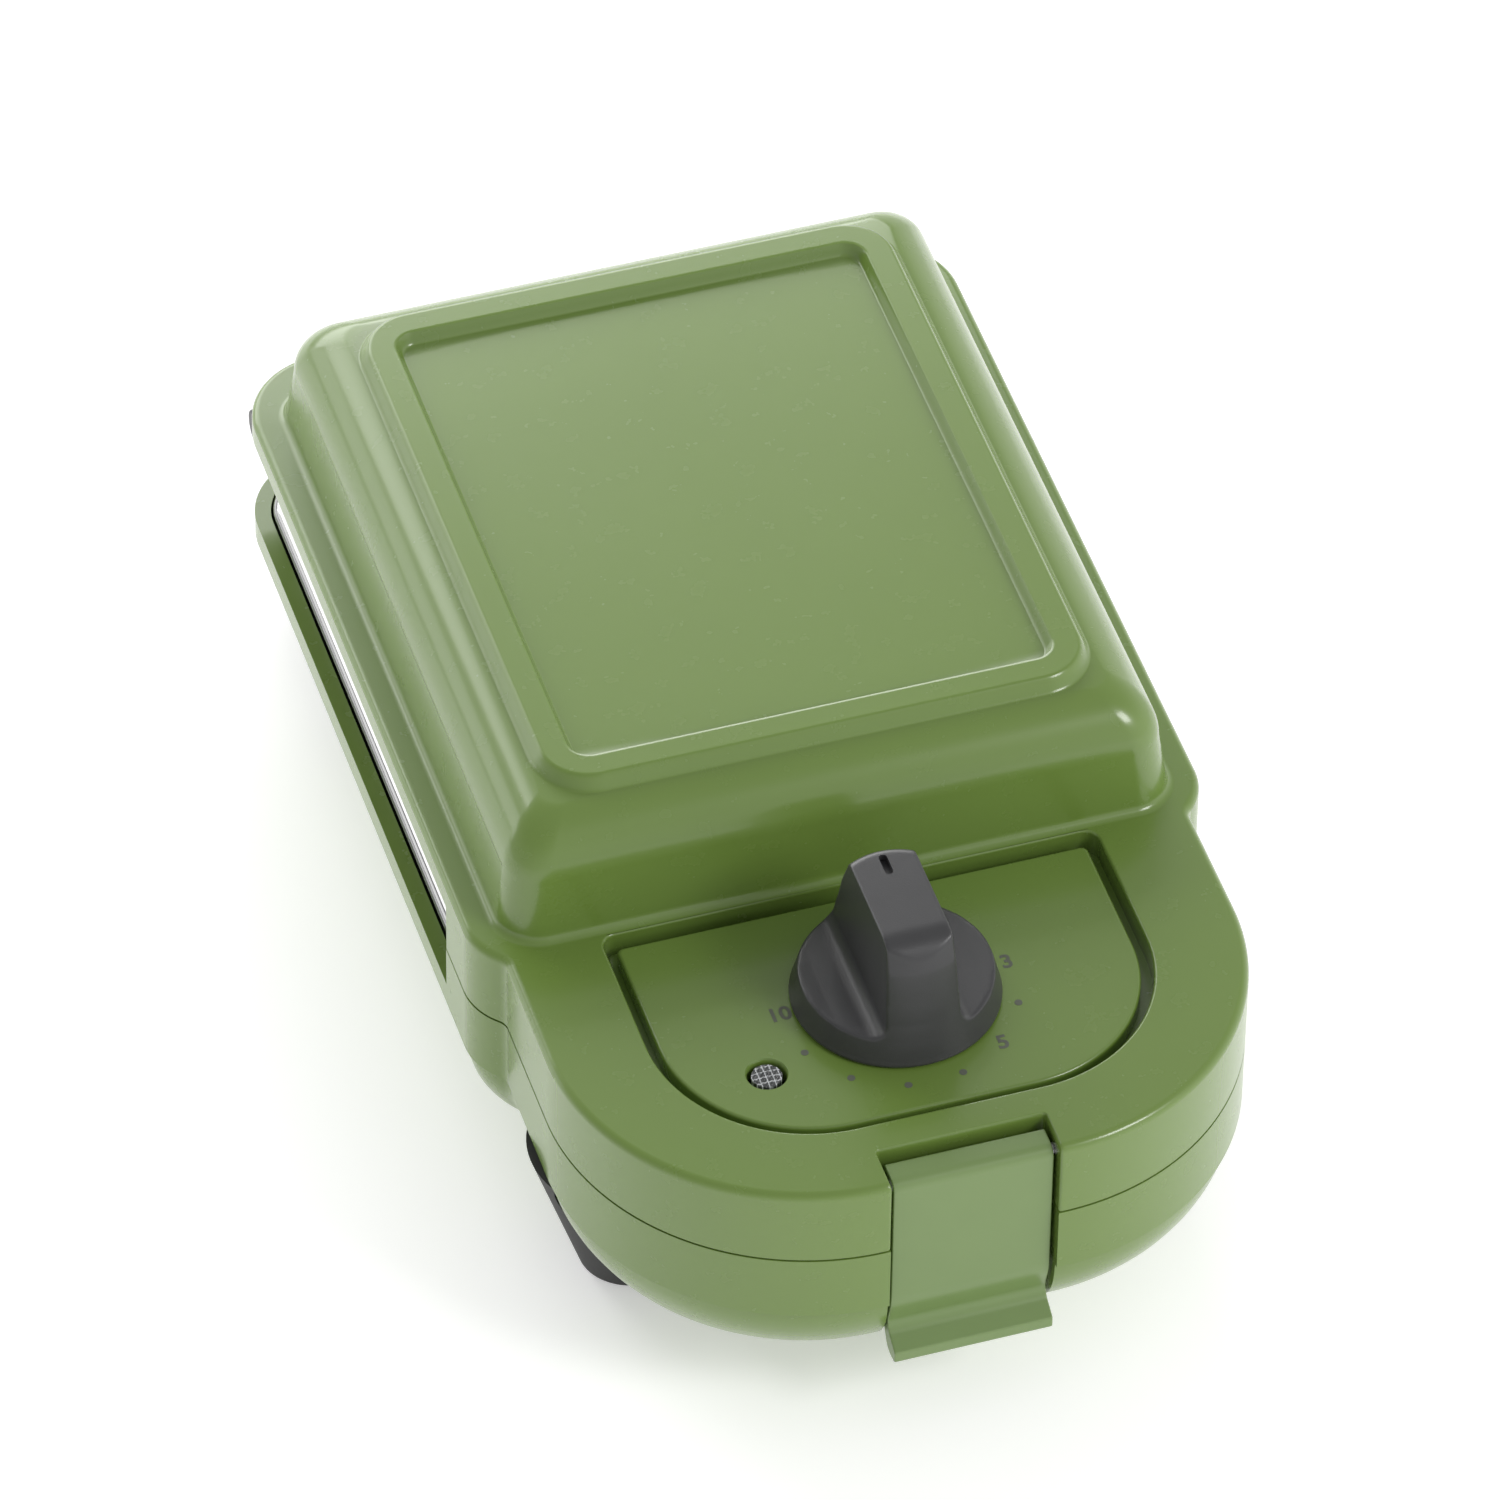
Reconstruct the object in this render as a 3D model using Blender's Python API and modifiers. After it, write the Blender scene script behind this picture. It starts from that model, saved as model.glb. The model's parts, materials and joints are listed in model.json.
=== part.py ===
"""Compact electric donut maker: hinged lid with a timer in its handle, front latch, four-donut plates.

Frame: +Z up, the latch end points to -Y and the hinge is at +Y. The origin is on the table
under the middle of the bounding box. All sizes are in metres.
"""

import math

import bmesh
import bpy
from mathutils import Matrix, Vector

# ---------------------------------------------------------------- driving dimensions
GAP = 0.0003  # clearance between touching pieces

# Levels above the table
FLOOR_Z = 0.0135  # underside of the lower casing
BAND_Z = 0.0329  # where the casing's belly starts to curve in
RIM_Z = 0.0385  # casing rim beside the plates
PARTING_Z = 0.0480  # parting line round the handle
PLATE_Z = 0.0413  # plane where the two plates meet
FLANGE_Z = 0.0595  # underside of the lid's flange
DECK_Z = 0.0655  # top of the flange and the handle
DOME_Z = 0.0905  # top of the dome inside the bead
BEAD_Z = 0.0930  # crest of the bead
PANEL_Z = 0.0640  # top of the control panel

# Casing plan
SIDE_X = 0.0725  # half width beside the plates
HANDLE_X = 0.0674  # half width of the handle
REAR_Y = 0.1220
REAR_R = 0.0170
SHOULDER_Y = (-0.0500, -0.0380)  # S-shaped step from the handle out to the sides
SHOULDER_INNER_R = 0.0035  # tight arc at the handle's end of that step
NOSE_R = 0.0500
NOSE_Y = -0.0746  # centre of the two large front corners
STEP_Y = -0.0262  # end of the handle's deep skirt
BELLY_R = 0.0194
BELLY_STEP = 0.0010
LID_WALL = 0.0026
CASE_WALL = 0.0032

# Dome on the lid, and the bead round its top
DOME_X = 0.0660
DOME_Y = (-0.0460, 0.1118)
DOME_CORNER_R = 0.0080
DOME_DRAFT = 0.0014
DOME_SHOULDER_R = 0.0125
BEAD_INSET = 0.0109
BEAD_WIDTH = 0.0088
BEAD_STEP = 0.0005  # the bead starts this far in from the shoulder, and this far below the top
SHOULDER_END = math.acos(1 - (BEAD_INSET - BEAD_STEP - DOME_DRAFT) / DOME_SHOULDER_R)

# D-shaped recess for the control panel
RECESS_X = 0.0488
RECESS_Y = (-0.1084, -0.0480)
RECESS_R = (0.0310, 0.0030)  # front and rear corners
RECESS_FLOOR_Z = 0.0600
PANEL_INSET = 0.0024
LEDGE_INSET = 0.0043
WELL_WALL = 0.0022

# Timer knob and pilot lamp
KNOB_Y = -0.0765
KNOB_LEAN = 0.07  # the knob's upper part leans forward this much per unit of height
KNOB_R = 0.0200
KNOB_TOP_Z = 0.0910
GRIP_HALF = 0.0062
TIMER_SCREW_X = 0.0140
LAMP_X = -0.0292
LAMP_Y = -0.0893
LAMP_R = 0.0034

# Latch
NOTCH_X = 0.0163
NOTCH_Y = -0.1151
LATCH_X = 0.0155
LATCH_PIN = (-0.1199, 0.0609)  # y, z of the pivot
LATCH_PIN_R = 0.0012

# Rear hinge
HINGE = (0.1150, 0.0556)  # y, z of the axis
BARREL_R = 0.0036
PIN_R = 0.0015
HOUSING_Y = 0.1260

# Plates: two rows of two donut cavities
PLATE_X = 0.0644
PLATE_Y = (-0.0140, 0.1062)
PLATE_THICK = 0.0047
FRAME_X = 0.0689
CAVITY_PITCH = (0.0310, 0.0300)
CAVITY_RING_R = 0.0160
CAVITY_TUBE_R = 0.0100
CAVITY_WALL = 0.0022
PLATE_MID_Y = (PLATE_Y[0] + PLATE_Y[1]) / 2
HEATER_R = 0.0031
HEATER_LEG_X = 0.0200

# Feet
FOOT_X = 0.0495
FOOT_Y = (-0.0686, 0.0880)
FOOT_R = (0.0092, 0.0155)  # at the table and 20 mm above it
STUD_X = 0.0426  # stud that plugs each foot into the casing

FINISHES = {
    "green_paint": ((0.215, 0.300, 0.120), 0.32, 0.0),
    "green_plastic": ((0.190, 0.290, 0.140), 0.38, 0.0),
    "black_plastic": ((0.022, 0.022, 0.023), 0.45, 0.0),
    "rubber": ((0.018, 0.018, 0.018), 0.80, 0.0),
    "non_stick": ((0.030, 0.030, 0.032), 0.30, 0.2),
    "aluminium": ((0.720, 0.720, 0.730), 0.35, 1.0),
    "steel": ((0.560, 0.560, 0.570), 0.28, 1.0),
    "lens": ((0.850, 0.870, 0.880), 0.10, 0.0),
    "phenolic": ((0.060, 0.045, 0.035), 0.55, 0.0),
    "brass": ((0.700, 0.520, 0.240), 0.30, 1.0),
    "wire_sleeve": ((0.850, 0.850, 0.820), 0.60, 0.0),
}

X_AXIS = Matrix(((0, 0, 1, 0), (1, 0, 0, 0), (0, 1, 0, 0), (0, 0, 0, 1)))  # local x, y -> Y, Z


# ---------------------------------------------------------------- scene helpers
def clear_scene():
    for old in list(bpy.data.objects):
        bpy.data.objects.remove(old, do_unlink=True)


def new_collection(name):
    collection = bpy.data.collections.new(name)
    bpy.context.scene.collection.children.link(collection)
    return collection


def new_material(name):
    colour, roughness, metallic = FINISHES[name]
    material = bpy.data.materials.new(name)
    material.use_nodes = True
    shader = material.node_tree.nodes["Principled BSDF"]
    shader.inputs["Base Color"].default_value = (*colour, 1)
    shader.inputs["Roughness"].default_value = roughness
    shader.inputs["Metallic"].default_value = metallic
    material.diffuse_color = (*colour, 1)
    return material


clear_scene()
PARTS = new_collection("donut_maker")
CUTTERS = new_collection("donut_maker_cutters")
MATERIALS = {name: new_material(name) for name in FINISHES}


def add_object(name, bm, finish=None, smooth_angle=35):
    """Object from a bmesh: a visible part if it has a finish, else a cutter."""
    bmesh.ops.recalc_face_normals(bm, faces=bm.faces)
    mesh = bpy.data.meshes.new(name)
    bm.to_mesh(mesh)
    bm.free()
    obj = bpy.data.objects.new(name, mesh)
    if finish:
        PARTS.objects.link(obj)
        mesh.materials.append(MATERIALS[finish])
        mesh.shade_smooth()
        mesh.set_sharp_from_angle(angle=math.radians(smooth_angle))
    else:
        CUTTERS.objects.link(obj)
        obj.hide_render = True
        obj.display_type = "WIRE"
    return obj


def boolean(target, tool, operation):
    modifier = target.modifiers.new(f"{operation.lower()}_{tool.name}", "BOOLEAN")
    modifier.operation = operation
    modifier.solver = "EXACT"
    modifier.object = tool


def cut(target, *tools):
    for tool in tools:
        boolean(target, tool, "DIFFERENCE")


def add(target, *tools):
    for tool in tools:
        boolean(target, tool, "UNION")


def bevel(obj, width, segments=2, angle=40):
    modifier = obj.modifiers.new("rounded_edges", "BEVEL")
    modifier.width = width
    modifier.segments = segments
    modifier.limit_method = "ANGLE"
    modifier.angle_limit = math.radians(angle)


# ---------------------------------------------------------------- outlines, in plan
def arc(cx, cy, radius, start, end, steps):
    """Points on an arc, with its angles in degrees."""
    angles = (math.radians(start + (end - start) * i / steps) for i in range(steps + 1))
    return [(cx + radius * math.cos(a), cy + radius * math.sin(a)) for a in angles]


def mirrored(half):
    """Closed outline from its right half, which runs from the front centre to the rear centre."""
    return half + [(-x, y) for x, y in reversed(half) if x > 1e-6]


def shoulder(inset):
    """S-curve from the handle's side out to the side beside the plates: a tight arc, then a wide one."""
    rise = SIDE_X - HANDLE_X
    run = SHOULDER_Y[1] - SHOULDER_Y[0]
    turn = 2 * math.atan(rise / run)
    outer_r = run / math.sin(turn) - SHOULDER_INNER_R
    offset = min(inset, SHOULDER_INNER_R)
    degrees = math.degrees(turn)
    inner_x = HANDLE_X + SHOULDER_INNER_R
    inner = arc(inner_x, SHOULDER_Y[0], SHOULDER_INNER_R + offset, 180, 180 - degrees, 2)
    outer = arc(SIDE_X - outer_r, SHOULDER_Y[1], outer_r - offset, -degrees, 0, 3)
    return [(x - (inset - offset), y) for x, y in inner + outer[1:]]


def casing_outline(inset=0.0):
    """Plan of the lid and the casing, moved inwards by inset."""
    half = [(0, NOSE_Y - NOSE_R + inset)]
    half += arc(HANDLE_X - NOSE_R, NOSE_Y, NOSE_R - inset, -90, 0, 8)
    half += shoulder(inset)
    corner = max(REAR_R - inset, 0.002)
    half += arc(SIDE_X - inset - corner, REAR_Y - inset - corner, corner, 0, 90, 4)
    half.append((0, REAR_Y - inset))
    return mirrored(half)


def rounded_outline(half_x, y_range, front_r, rear_r=None, steps=4):
    """Rounded rectangle, symmetric about x = 0."""
    rear_r = front_r if rear_r is None else rear_r
    half = [(0, y_range[0])]
    half += arc(half_x - front_r, y_range[0] + front_r, front_r, -90, 0, steps)
    half += arc(half_x - rear_r, y_range[1] - rear_r, rear_r, 0, 90, steps)
    half.append((0, y_range[1]))
    return mirrored(half)


def recess_outline(inset=0.0):
    """D-shaped plan of the control panel's recess."""
    y_range = (RECESS_Y[0] + inset, RECESS_Y[1] - inset)
    rear_r = max(RECESS_R[1] - inset, 0.0012)
    return rounded_outline(RECESS_X - inset, y_range, RECESS_R[0] - inset, rear_r, 6)


# ---------------------------------------------------------------- solids
def loft(name, rings, finish=None, frame=None, smooth_angle=35):
    """Solid through outlines of the same length at rising levels: rings holds (outline, level)."""
    bm = bmesh.new()
    loops = [[bm.verts.new((x, y, z)) for x, y in outline] for outline, z in rings]
    count = len(loops[0])
    for low, high in zip(loops, loops[1:]):
        for i in range(count):
            j = (i + 1) % count
            bm.faces.new((low[i], low[j], high[j], high[i]))
    bm.faces.new(loops[0][::-1])
    bm.faces.new(loops[-1])
    if frame:
        bm.transform(frame)
    return add_object(name, bm, finish, smooth_angle)


def prism(name, outline, low, high, finish=None, frame=None):
    return loft(name, [(outline, low), (outline, high)], finish, frame)


def box(name, x, y, z, finish=None):
    """Box from its ranges along X, Y and Z."""
    bm = bmesh.new()
    bmesh.ops.create_cube(bm, size=1)
    size = (x[1] - x[0], y[1] - y[0], z[1] - z[0])
    middle = ((x[0] + x[1]) / 2, (y[0] + y[1]) / 2, (z[0] + z[1]) / 2)
    bmesh.ops.scale(bm, vec=size, verts=bm.verts)
    bmesh.ops.translate(bm, vec=middle, verts=bm.verts)
    return add_object(name, bm, finish)


def rod(name, start, end, radius, finish=None, sides=16, end_radius=None):
    """Round bar or cone from start to end."""
    start, end = Vector(start), Vector(end)
    along = end - start
    bm = bmesh.new()
    bmesh.ops.create_cone(
        bm,
        cap_ends=True,
        segments=sides,
        radius1=radius,
        radius2=radius if end_radius is None else end_radius,
        depth=along.length,
        matrix=Matrix.Translation((start + end) / 2) @ along.to_track_quat("Z", "Y").to_matrix().to_4x4(),
    )
    return add_object(name, bm, finish)


def turned(name, profile, centre, finish=None, steps=24):
    """Solid of revolution about a vertical axis: profile holds (radius, z) from top to bottom."""
    bm = bmesh.new()
    points = [bm.verts.new((radius, 0, z)) for radius, z in profile]
    for upper, lower in zip(points, points[1:]):
        bm.edges.new((upper, lower))
    mesh = bpy.data.meshes.new(name)
    bm.to_mesh(mesh)
    bm.free()
    obj = bpy.data.objects.new(name, mesh)
    obj.location = centre
    (PARTS if finish else CUTTERS).objects.link(obj)
    if finish:
        mesh.materials.append(MATERIALS[finish])
    else:
        obj.hide_render = True
        obj.display_type = "WIRE"
    screw = obj.modifiers.new("turn", "SCREW")
    screw.steps = screw.render_steps = steps
    screw.use_merge_vertices = True
    screw.merge_threshold = 0.00001
    screw.use_smooth_shade = False
    return obj


def screw(name, place, head_r, head_z, tip_z):
    """Pan-head screw along Z: head_z holds the head's outer face and its seat, and tip_z the shank's end."""
    shank_r = 0.0014
    face, seat = head_z
    profile = [(0, face), (head_r, face), (head_r, seat), (shank_r, seat), (shank_r, tip_z), (0, tip_z)]
    turned(name, profile if face > tip_z else profile[::-1], (*place, 0), "steel", 12)


def tube(name, points, radius, finish):
    """Round tube or wire through points, with flat ends."""
    curve = bpy.data.curves.new(name, "CURVE")
    curve.dimensions = "3D"
    curve.bevel_depth = radius
    curve.bevel_resolution = 2
    curve.use_fill_caps = True
    spline = curve.splines.new("POLY")
    spline.points.add(len(points) - 1)
    for target, point in zip(spline.points, points):
        target.co = (*point, 1)
    curve.materials.append(MATERIALS[finish])
    obj = bpy.data.objects.new(name, curve)
    PARTS.objects.link(obj)
    return obj


def torus(name, centre, tube_radius):
    """Ring of a donut cavity, round a vertical axis."""
    sides = 10
    profile = arc(CAVITY_RING_R, 0, tube_radius, 90, -270, sides)
    bm = bmesh.new()
    points = [bm.verts.new((x, 0, z)) for x, z in profile[:-1]]
    for upper, lower in zip(points, points[1:] + points[:1]):
        bm.edges.new((upper, lower))
    bmesh.ops.spin(
        bm,
        geom=bm.verts[:] + bm.edges[:],
        axis=(0, 0, 1),
        cent=(0, 0, 0),
        angle=math.tau,
        steps=20,
        use_merge=True,
    )
    bmesh.ops.translate(bm, vec=centre, verts=bm.verts)
    return add_object(name, bm)


# ---------------------------------------------------------------- lid
def dome_ring(inset, shrink=0.0):
    """Outline of the dome, this far in from its foot, or moved in by shrink as well for the inside."""
    corner = DOME_CORNER_R - shrink - (inset if inset < 0 else 0.35 * inset)
    inset += shrink
    return rounded_outline(DOME_X - inset, (DOME_Y[0] + inset, DOME_Y[1] - inset), corner)


def dome_shoulder(end, shrink=0.0):
    """Rings over the dome's rounded shoulder, up to the angle end."""
    radius = DOME_SHOULDER_R - shrink
    rings = []
    for step in range(6):
        angle = end * step / 5
        ring = dome_ring(DOME_DRAFT + radius * (1 - math.cos(angle)), shrink)
        rings.append((ring, DOME_Z - DOME_SHOULDER_R + radius * math.sin(angle)))
    return rings


def dome():
    foot = [
        (dome_ring(-0.0010), DECK_Z - 0.0015),
        (dome_ring(-0.0010), DECK_Z),
        (dome_ring(-0.0003), DECK_Z + 0.0003),
        (dome_ring(0), DECK_Z + 0.0010),
    ]
    bead = []
    for across, z in (
        (0, DOME_Z - BEAD_STEP),
        (0.13, BEAD_Z - 0.0010),
        (0.26, BEAD_Z),
        (0.82, BEAD_Z),
        (0.91, BEAD_Z - 0.0008),
        (1, DOME_Z),
    ):
        inset = BEAD_INSET + across * BEAD_WIDTH
        y_range = (DOME_Y[0] + inset, DOME_Y[1] - inset)
        corner = 0.0115 - 0.0085 * across
        bead.append((rounded_outline(DOME_X - inset, y_range, corner), z))
    return loft("dome", foot + dome_shoulder(SHOULDER_END) + bead)


def dome_hollow():
    return loft("dome_hollow", [(dome_ring(0, LID_WALL), PARTING_Z), *dome_shoulder(math.pi / 2, LID_WALL)])


LID_SCREWS = [(x, y) for y, x_half in ((-0.0600, 0.0585), (-0.1040, 0.0470)) for x in (-x_half, x_half)]


def lid_cover():
    rings = [
        (casing_outline(), PARTING_Z + GAP),
        (casing_outline(), DECK_Z - 0.0014),
        (casing_outline(0.0004), DECK_Z - 0.0005),
        (casing_outline(0.0014), DECK_Z),
    ]
    cover = loft("lid_cover", rings, "green_paint")
    add(cover, dome())
    cut(cover, box("below_flange", (-0.09, 0.09), (STEP_Y, 0.14), (0.040, FLANGE_Z)))
    cut(cover, prism("flange_hollow", casing_outline(LID_WALL), 0.040, DECK_Z - LID_WALL))
    cut(cover, dome_hollow())
    ceiling = DECK_Z - LID_WALL + 0.0003
    add(cover, prism("panel_well", recess_outline(-WELL_WALL), RECESS_FLOOR_Z - 0.0025, ceiling))
    notch_wall = NOTCH_X + 0.0023
    wall_y = (-0.1236, NOTCH_Y + 0.0022)
    add(cover, box("lid_notch_wall", (-notch_wall, notch_wall), wall_y, (PARTING_Z + GAP, ceiling)))
    for i, (x, y) in enumerate(LID_SCREWS):
        add(cover, rod(f"lid_boss_{i}", (x, y, 0.0507), (x, y, ceiling), 0.0034, sides=12))
        cut(cover, rod(f"lid_boss_bore_{i}", (x, y, 0.0500), (x, y, 0.0600), 0.0017, sides=12))
    cut(cover, prism("panel_recess", recess_outline(), RECESS_FLOOR_Z, 0.0700))
    cut(cover, prism("panel_opening", recess_outline(LEDGE_INSET), 0.0520, 0.0620))
    cut(cover, box("lid_notch", (-NOTCH_X, NOTCH_X), (-0.1400, NOTCH_Y), (0.0400, 0.0700)))
    bore_r = LATCH_PIN_R + GAP
    cut(cover, rod("latch_pin_bore", (-0.0240, *LATCH_PIN), (0.0240, *LATCH_PIN), bore_r, sides=12))


def control_panel():
    panel = prism("control_panel", recess_outline(PANEL_INSET), RECESS_FLOOR_Z + GAP, PANEL_Z, "green_paint")
    bevel(panel, 0.0005, 1, 60)
    cut(panel, rod("timer_neck_hole", (0, KNOB_Y, 0.058), (0, KNOB_Y, 0.068), 0.0046))
    cut(panel, rod("lamp_hole", (LAMP_X, LAMP_Y, 0.058), (LAMP_X, LAMP_Y, 0.068), LAMP_R + GAP))
    for side, x in (("left", -TIMER_SCREW_X), ("right", TIMER_SCREW_X)):
        above = (x, KNOB_Y, 0.068)
        cut(panel, rod(f"panel_screw_hole_{side}", (x, KNOB_Y, 0.058), above, 0.0017, sides=12))
        cut(panel, rod(f"panel_counterbore_{side}", (x, KNOB_Y, 0.0621), above, 0.0029, sides=12))


def pilot_lamp():
    lens = [(0, 0.0635), (0.0018, 0.0634), (LAMP_R - 0.0004, 0.0631)]
    lens += [(LAMP_R, 0.0627), (LAMP_R, 0.0570), (0, 0.0570)]
    turned("pilot_lamp_lens", lens, (LAMP_X, LAMP_Y, 0), "lens", 16)
    bulb = [(0, 0.0566), (0.0016, 0.0560), (0.0024, 0.0545), (0.0024, 0.0510), (0, 0.0510)]
    turned("pilot_lamp_bulb", bulb, (LAMP_X, LAMP_Y, 0), "lens", 12)
    low, high = (LAMP_X, LAMP_Y, 0.0507), (LAMP_X, LAMP_Y, 0.0600)
    holder = rod("pilot_lamp_holder", low, high, 0.0050, "black_plastic")
    cut(holder, rod("lamp_sleeve_bore", (LAMP_X, LAMP_Y, 0.050), (LAMP_X, LAMP_Y, 0.061), LAMP_R + GAP))


def timer():
    body = box("timer_body", (-0.021, 0.021), (KNOB_Y - 0.021, KNOB_Y + 0.021), (0.0370, 0.0599), "phenolic")
    bevel(body, 0.0012, 1)
    add(body, rod("timer_neck", (0, KNOB_Y, 0.0590), (0, KNOB_Y, 0.0637), 0.0043))
    cut(body, rod("timer_bore", (0, KNOB_Y, 0.0450), (0, KNOB_Y, 0.0650), 0.0033))
    shaft = rod("timer_shaft", (0, 0, 0.0455), (0, 0, 0.0796), 0.0030, "brass")
    shaft.location = (0, KNOB_Y, 0)
    cut(shaft, box("shaft_flat", (0.0018, 0.0060), (KNOB_Y - 0.005, KNOB_Y + 0.005), (0.0660, 0.0850)))
    for side, x in (("left", -TIMER_SCREW_X), ("right", TIMER_SCREW_X)):
        cut(body, rod(f"timer_screw_bore_{side}", (x, KNOB_Y, 0.0545), (x, KNOB_Y, 0.0620), 0.0017, sides=12))
        screw(f"timer_screw_{side}", (x, KNOB_Y), 0.0026, (0.0639, 0.0624), 0.0550)


def timer_knob():
    low = PANEL_Z + GAP
    profile = [(KNOB_R, low), (KNOB_R, low + 0.0006), (0.0194, 0.0670), (0.0186, 0.0700), (0.0163, 0.0790)]
    profile += [(0.0150, 0.0850), (0.0132, KNOB_TOP_Z - 0.0010), (0.0118, KNOB_TOP_Z)]
    rings = []
    for radius, z in profile:
        lean = KNOB_LEAN * max(z - 0.0700, 0)
        rings.append((arc(0, KNOB_Y - lean, radius, 0, 348.75, 31), z))
    knob = loft("timer_knob", rings, "black_plastic")
    for side in (-1, 1):
        # Each side of the grip is cut away down to a crescent that dips towards the grip.
        outline = [(GRIP_HALF - 0.0002, 0.0990), (GRIP_HALF + 0.0014, 0.0735), (GRIP_HALF + 0.0032, 0.0710)]
        outline += [(0.0130, 0.0704), (0.0260, 0.0722), (0.0260, 0.0990)]
        outline = [(side * x, z) for x, z in outline]
        across = Matrix(((1, 0, 0, 0), (0, 0, 1, KNOB_Y), (0, 1, 0, 0), (0, 0, 0, 1)))
        cut(knob, prism(f"grip_side_{side + 1}", outline, -0.03, 0.03, frame=across))
    # The grip's front end is rounded over towards the user.
    front = arc(-0.0097, KNOB_TOP_Z - 0.0062, 0.0062, 87, 170, 5)
    front += [(-0.0300, 0.0859), (-0.0300, 0.0990), (-0.0097, 0.0990)]
    along = Matrix(((0, 0, 1, 0), (1, 0, 0, KNOB_Y), (0, 1, 0, 0), (0, 0, 0, 1)))
    cut(knob, prism("grip_front", front, -0.03, 0.03, frame=along))
    cut(knob, box("pointer_slot", (-0.0006, 0.0006), (KNOB_Y + 0.0046, KNOB_Y + 0.0098), (0.0903, 0.0950)))
    cut(knob, rod("knob_bore", (0, KNOB_Y, 0.0600), (0, KNOB_Y, 0.0800), 0.0033))


def clip_handle_part(piece, name):
    """Trims a plan-shaped plate to the handle, ahead of the plates, and clears the latch notch."""
    cut(piece, box(f"{name}_rear_trim", (-0.09, 0.09), (STEP_Y - 0.0036, 0.14), (0.00, 0.10)))
    notch = NOTCH_X + 0.0023 + GAP
    cut(piece, box(f"{name}_notch_trim", (-notch, notch), (-0.14, NOTCH_Y + 0.0025), (0.00, 0.10)))


def lid_handle_cover():
    cover = prism("lid_handle_cover", casing_outline(LID_WALL + 0.0004), 0.0483, 0.0504, "black_plastic")
    clip_handle_part(cover, "lid_handle_cover")
    centre = KNOB_Y
    add(cover, box("timer_well", (-0.025, 0.025), (centre - 0.025, centre + 0.025), (0.0343, 0.0494)))
    cut(cover, box("timer_well_inside", (-0.023, 0.023), (centre - 0.023, centre + 0.023), (0.0363, 0.0520)))
    for i, (x, y) in enumerate(LID_SCREWS):
        cut(cover, rod(f"lid_screw_hole_{i}", (x, y, 0.0450), (x, y, 0.0520), 0.0017, sides=12))
        screw(f"lid_screw_{i + 1}", (x, y), 0.0030, (0.0465, 0.0480), 0.0590)


def latch():
    outline = [(-0.1170, 0.0575), (-0.1170, 0.0628), (-0.1180, 0.0638), (-0.1208, 0.0637), (-0.1222, 0.0629)]
    outline += [(-0.1230, 0.0612), (-0.1230, 0.0360), (-0.1224, 0.0298), (-0.1212, 0.0252), (-0.1214, 0.0236)]
    outline += [(-0.1232, 0.0219), (-0.1254, 0.0211), (-0.1260, 0.0204), (-0.1258, 0.0188), (-0.1236, 0.0180)]
    outline += [(-0.1205, 0.0196), (-0.1188, 0.0225), (-0.1189, 0.0262), (-0.1197, 0.0302), (-0.1164, 0.0302)]
    outline += [(-0.1164, 0.0320), (-0.1172, 0.0336), (-0.1199, 0.0336), (-0.1199, 0.0530)]
    piece = prism("latch", outline[::-1], -LATCH_X, LATCH_X, "green_plastic", X_AXIS)
    cut(piece, rod("latch_bore", (-0.0240, *LATCH_PIN), (0.0240, *LATCH_PIN), LATCH_PIN_R + GAP, sides=12))
    cut(piece, rod("latch_spring_pocket", (-0.0040, *LATCH_PIN), (0.0040, *LATCH_PIN), 0.0023, sides=20))
    cut(piece, box("latch_spring_mouth", (-0.0040, 0.0040), (LATCH_PIN[0], -0.1100), (0.0588, 0.0630)))
    rod("latch_pin", (-0.0184, *LATCH_PIN), (0.0184, *LATCH_PIN), LATCH_PIN_R, "steel", 12)
    turns, per_turn, coil_r = 4, 10, 0.00178
    coil = []
    for i in range(turns * per_turn + 1):
        angle = math.tau * i / per_turn
        x = -0.0028 + 0.0056 * i / (turns * per_turn)
        coil.append((x, LATCH_PIN[0] + coil_r * math.cos(angle), LATCH_PIN[1] + coil_r * math.sin(angle)))
    tube("latch_spring", coil, 0.00022, "steel")


def donut_centres():
    pitch_x, pitch_y = CAVITY_PITCH
    return [(x, PLATE_MID_Y + y) for x in (-pitch_x, pitch_x) for y in (-pitch_y, pitch_y)]


def donut_plate(name, side):
    """Non-stick plate with four half-donut cavities; side is 1 above the parting plane and -1 below."""
    face = PLATE_Z + side * GAP / 2
    back = face + side * PLATE_THICK
    outline = rounded_outline(PLATE_X, PLATE_Y, 0.0090)
    plate = prism(name, outline, *sorted((face - side * 0.0020, back)), "non_stick")
    for i, (x, y) in enumerate(donut_centres()):
        add(plate, torus(f"{name}_bulge_{i}", (x, y, PLATE_Z), CAVITY_TUBE_R + CAVITY_WALL))
    beyond = sorted((face, face - side * 0.0200))
    cut(plate, box(f"{name}_face", (-0.08, 0.08), (-0.05, 0.13), beyond))
    for i, (x, y) in enumerate(donut_centres()):
        cut(plate, torus(f"{name}_cavity_{i}", (x, y, PLATE_Z), CAVITY_TUBE_R))
    pocket = sorted((PLATE_Z + side * 0.0010, PLATE_Z + side * 0.0033))
    cut(plate, box(f"{name}_pocket", (-0.0043, 0.0043), (PLATE_Y[0] - 0.01, PLATE_Y[0] + 0.0023), pocket))


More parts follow.
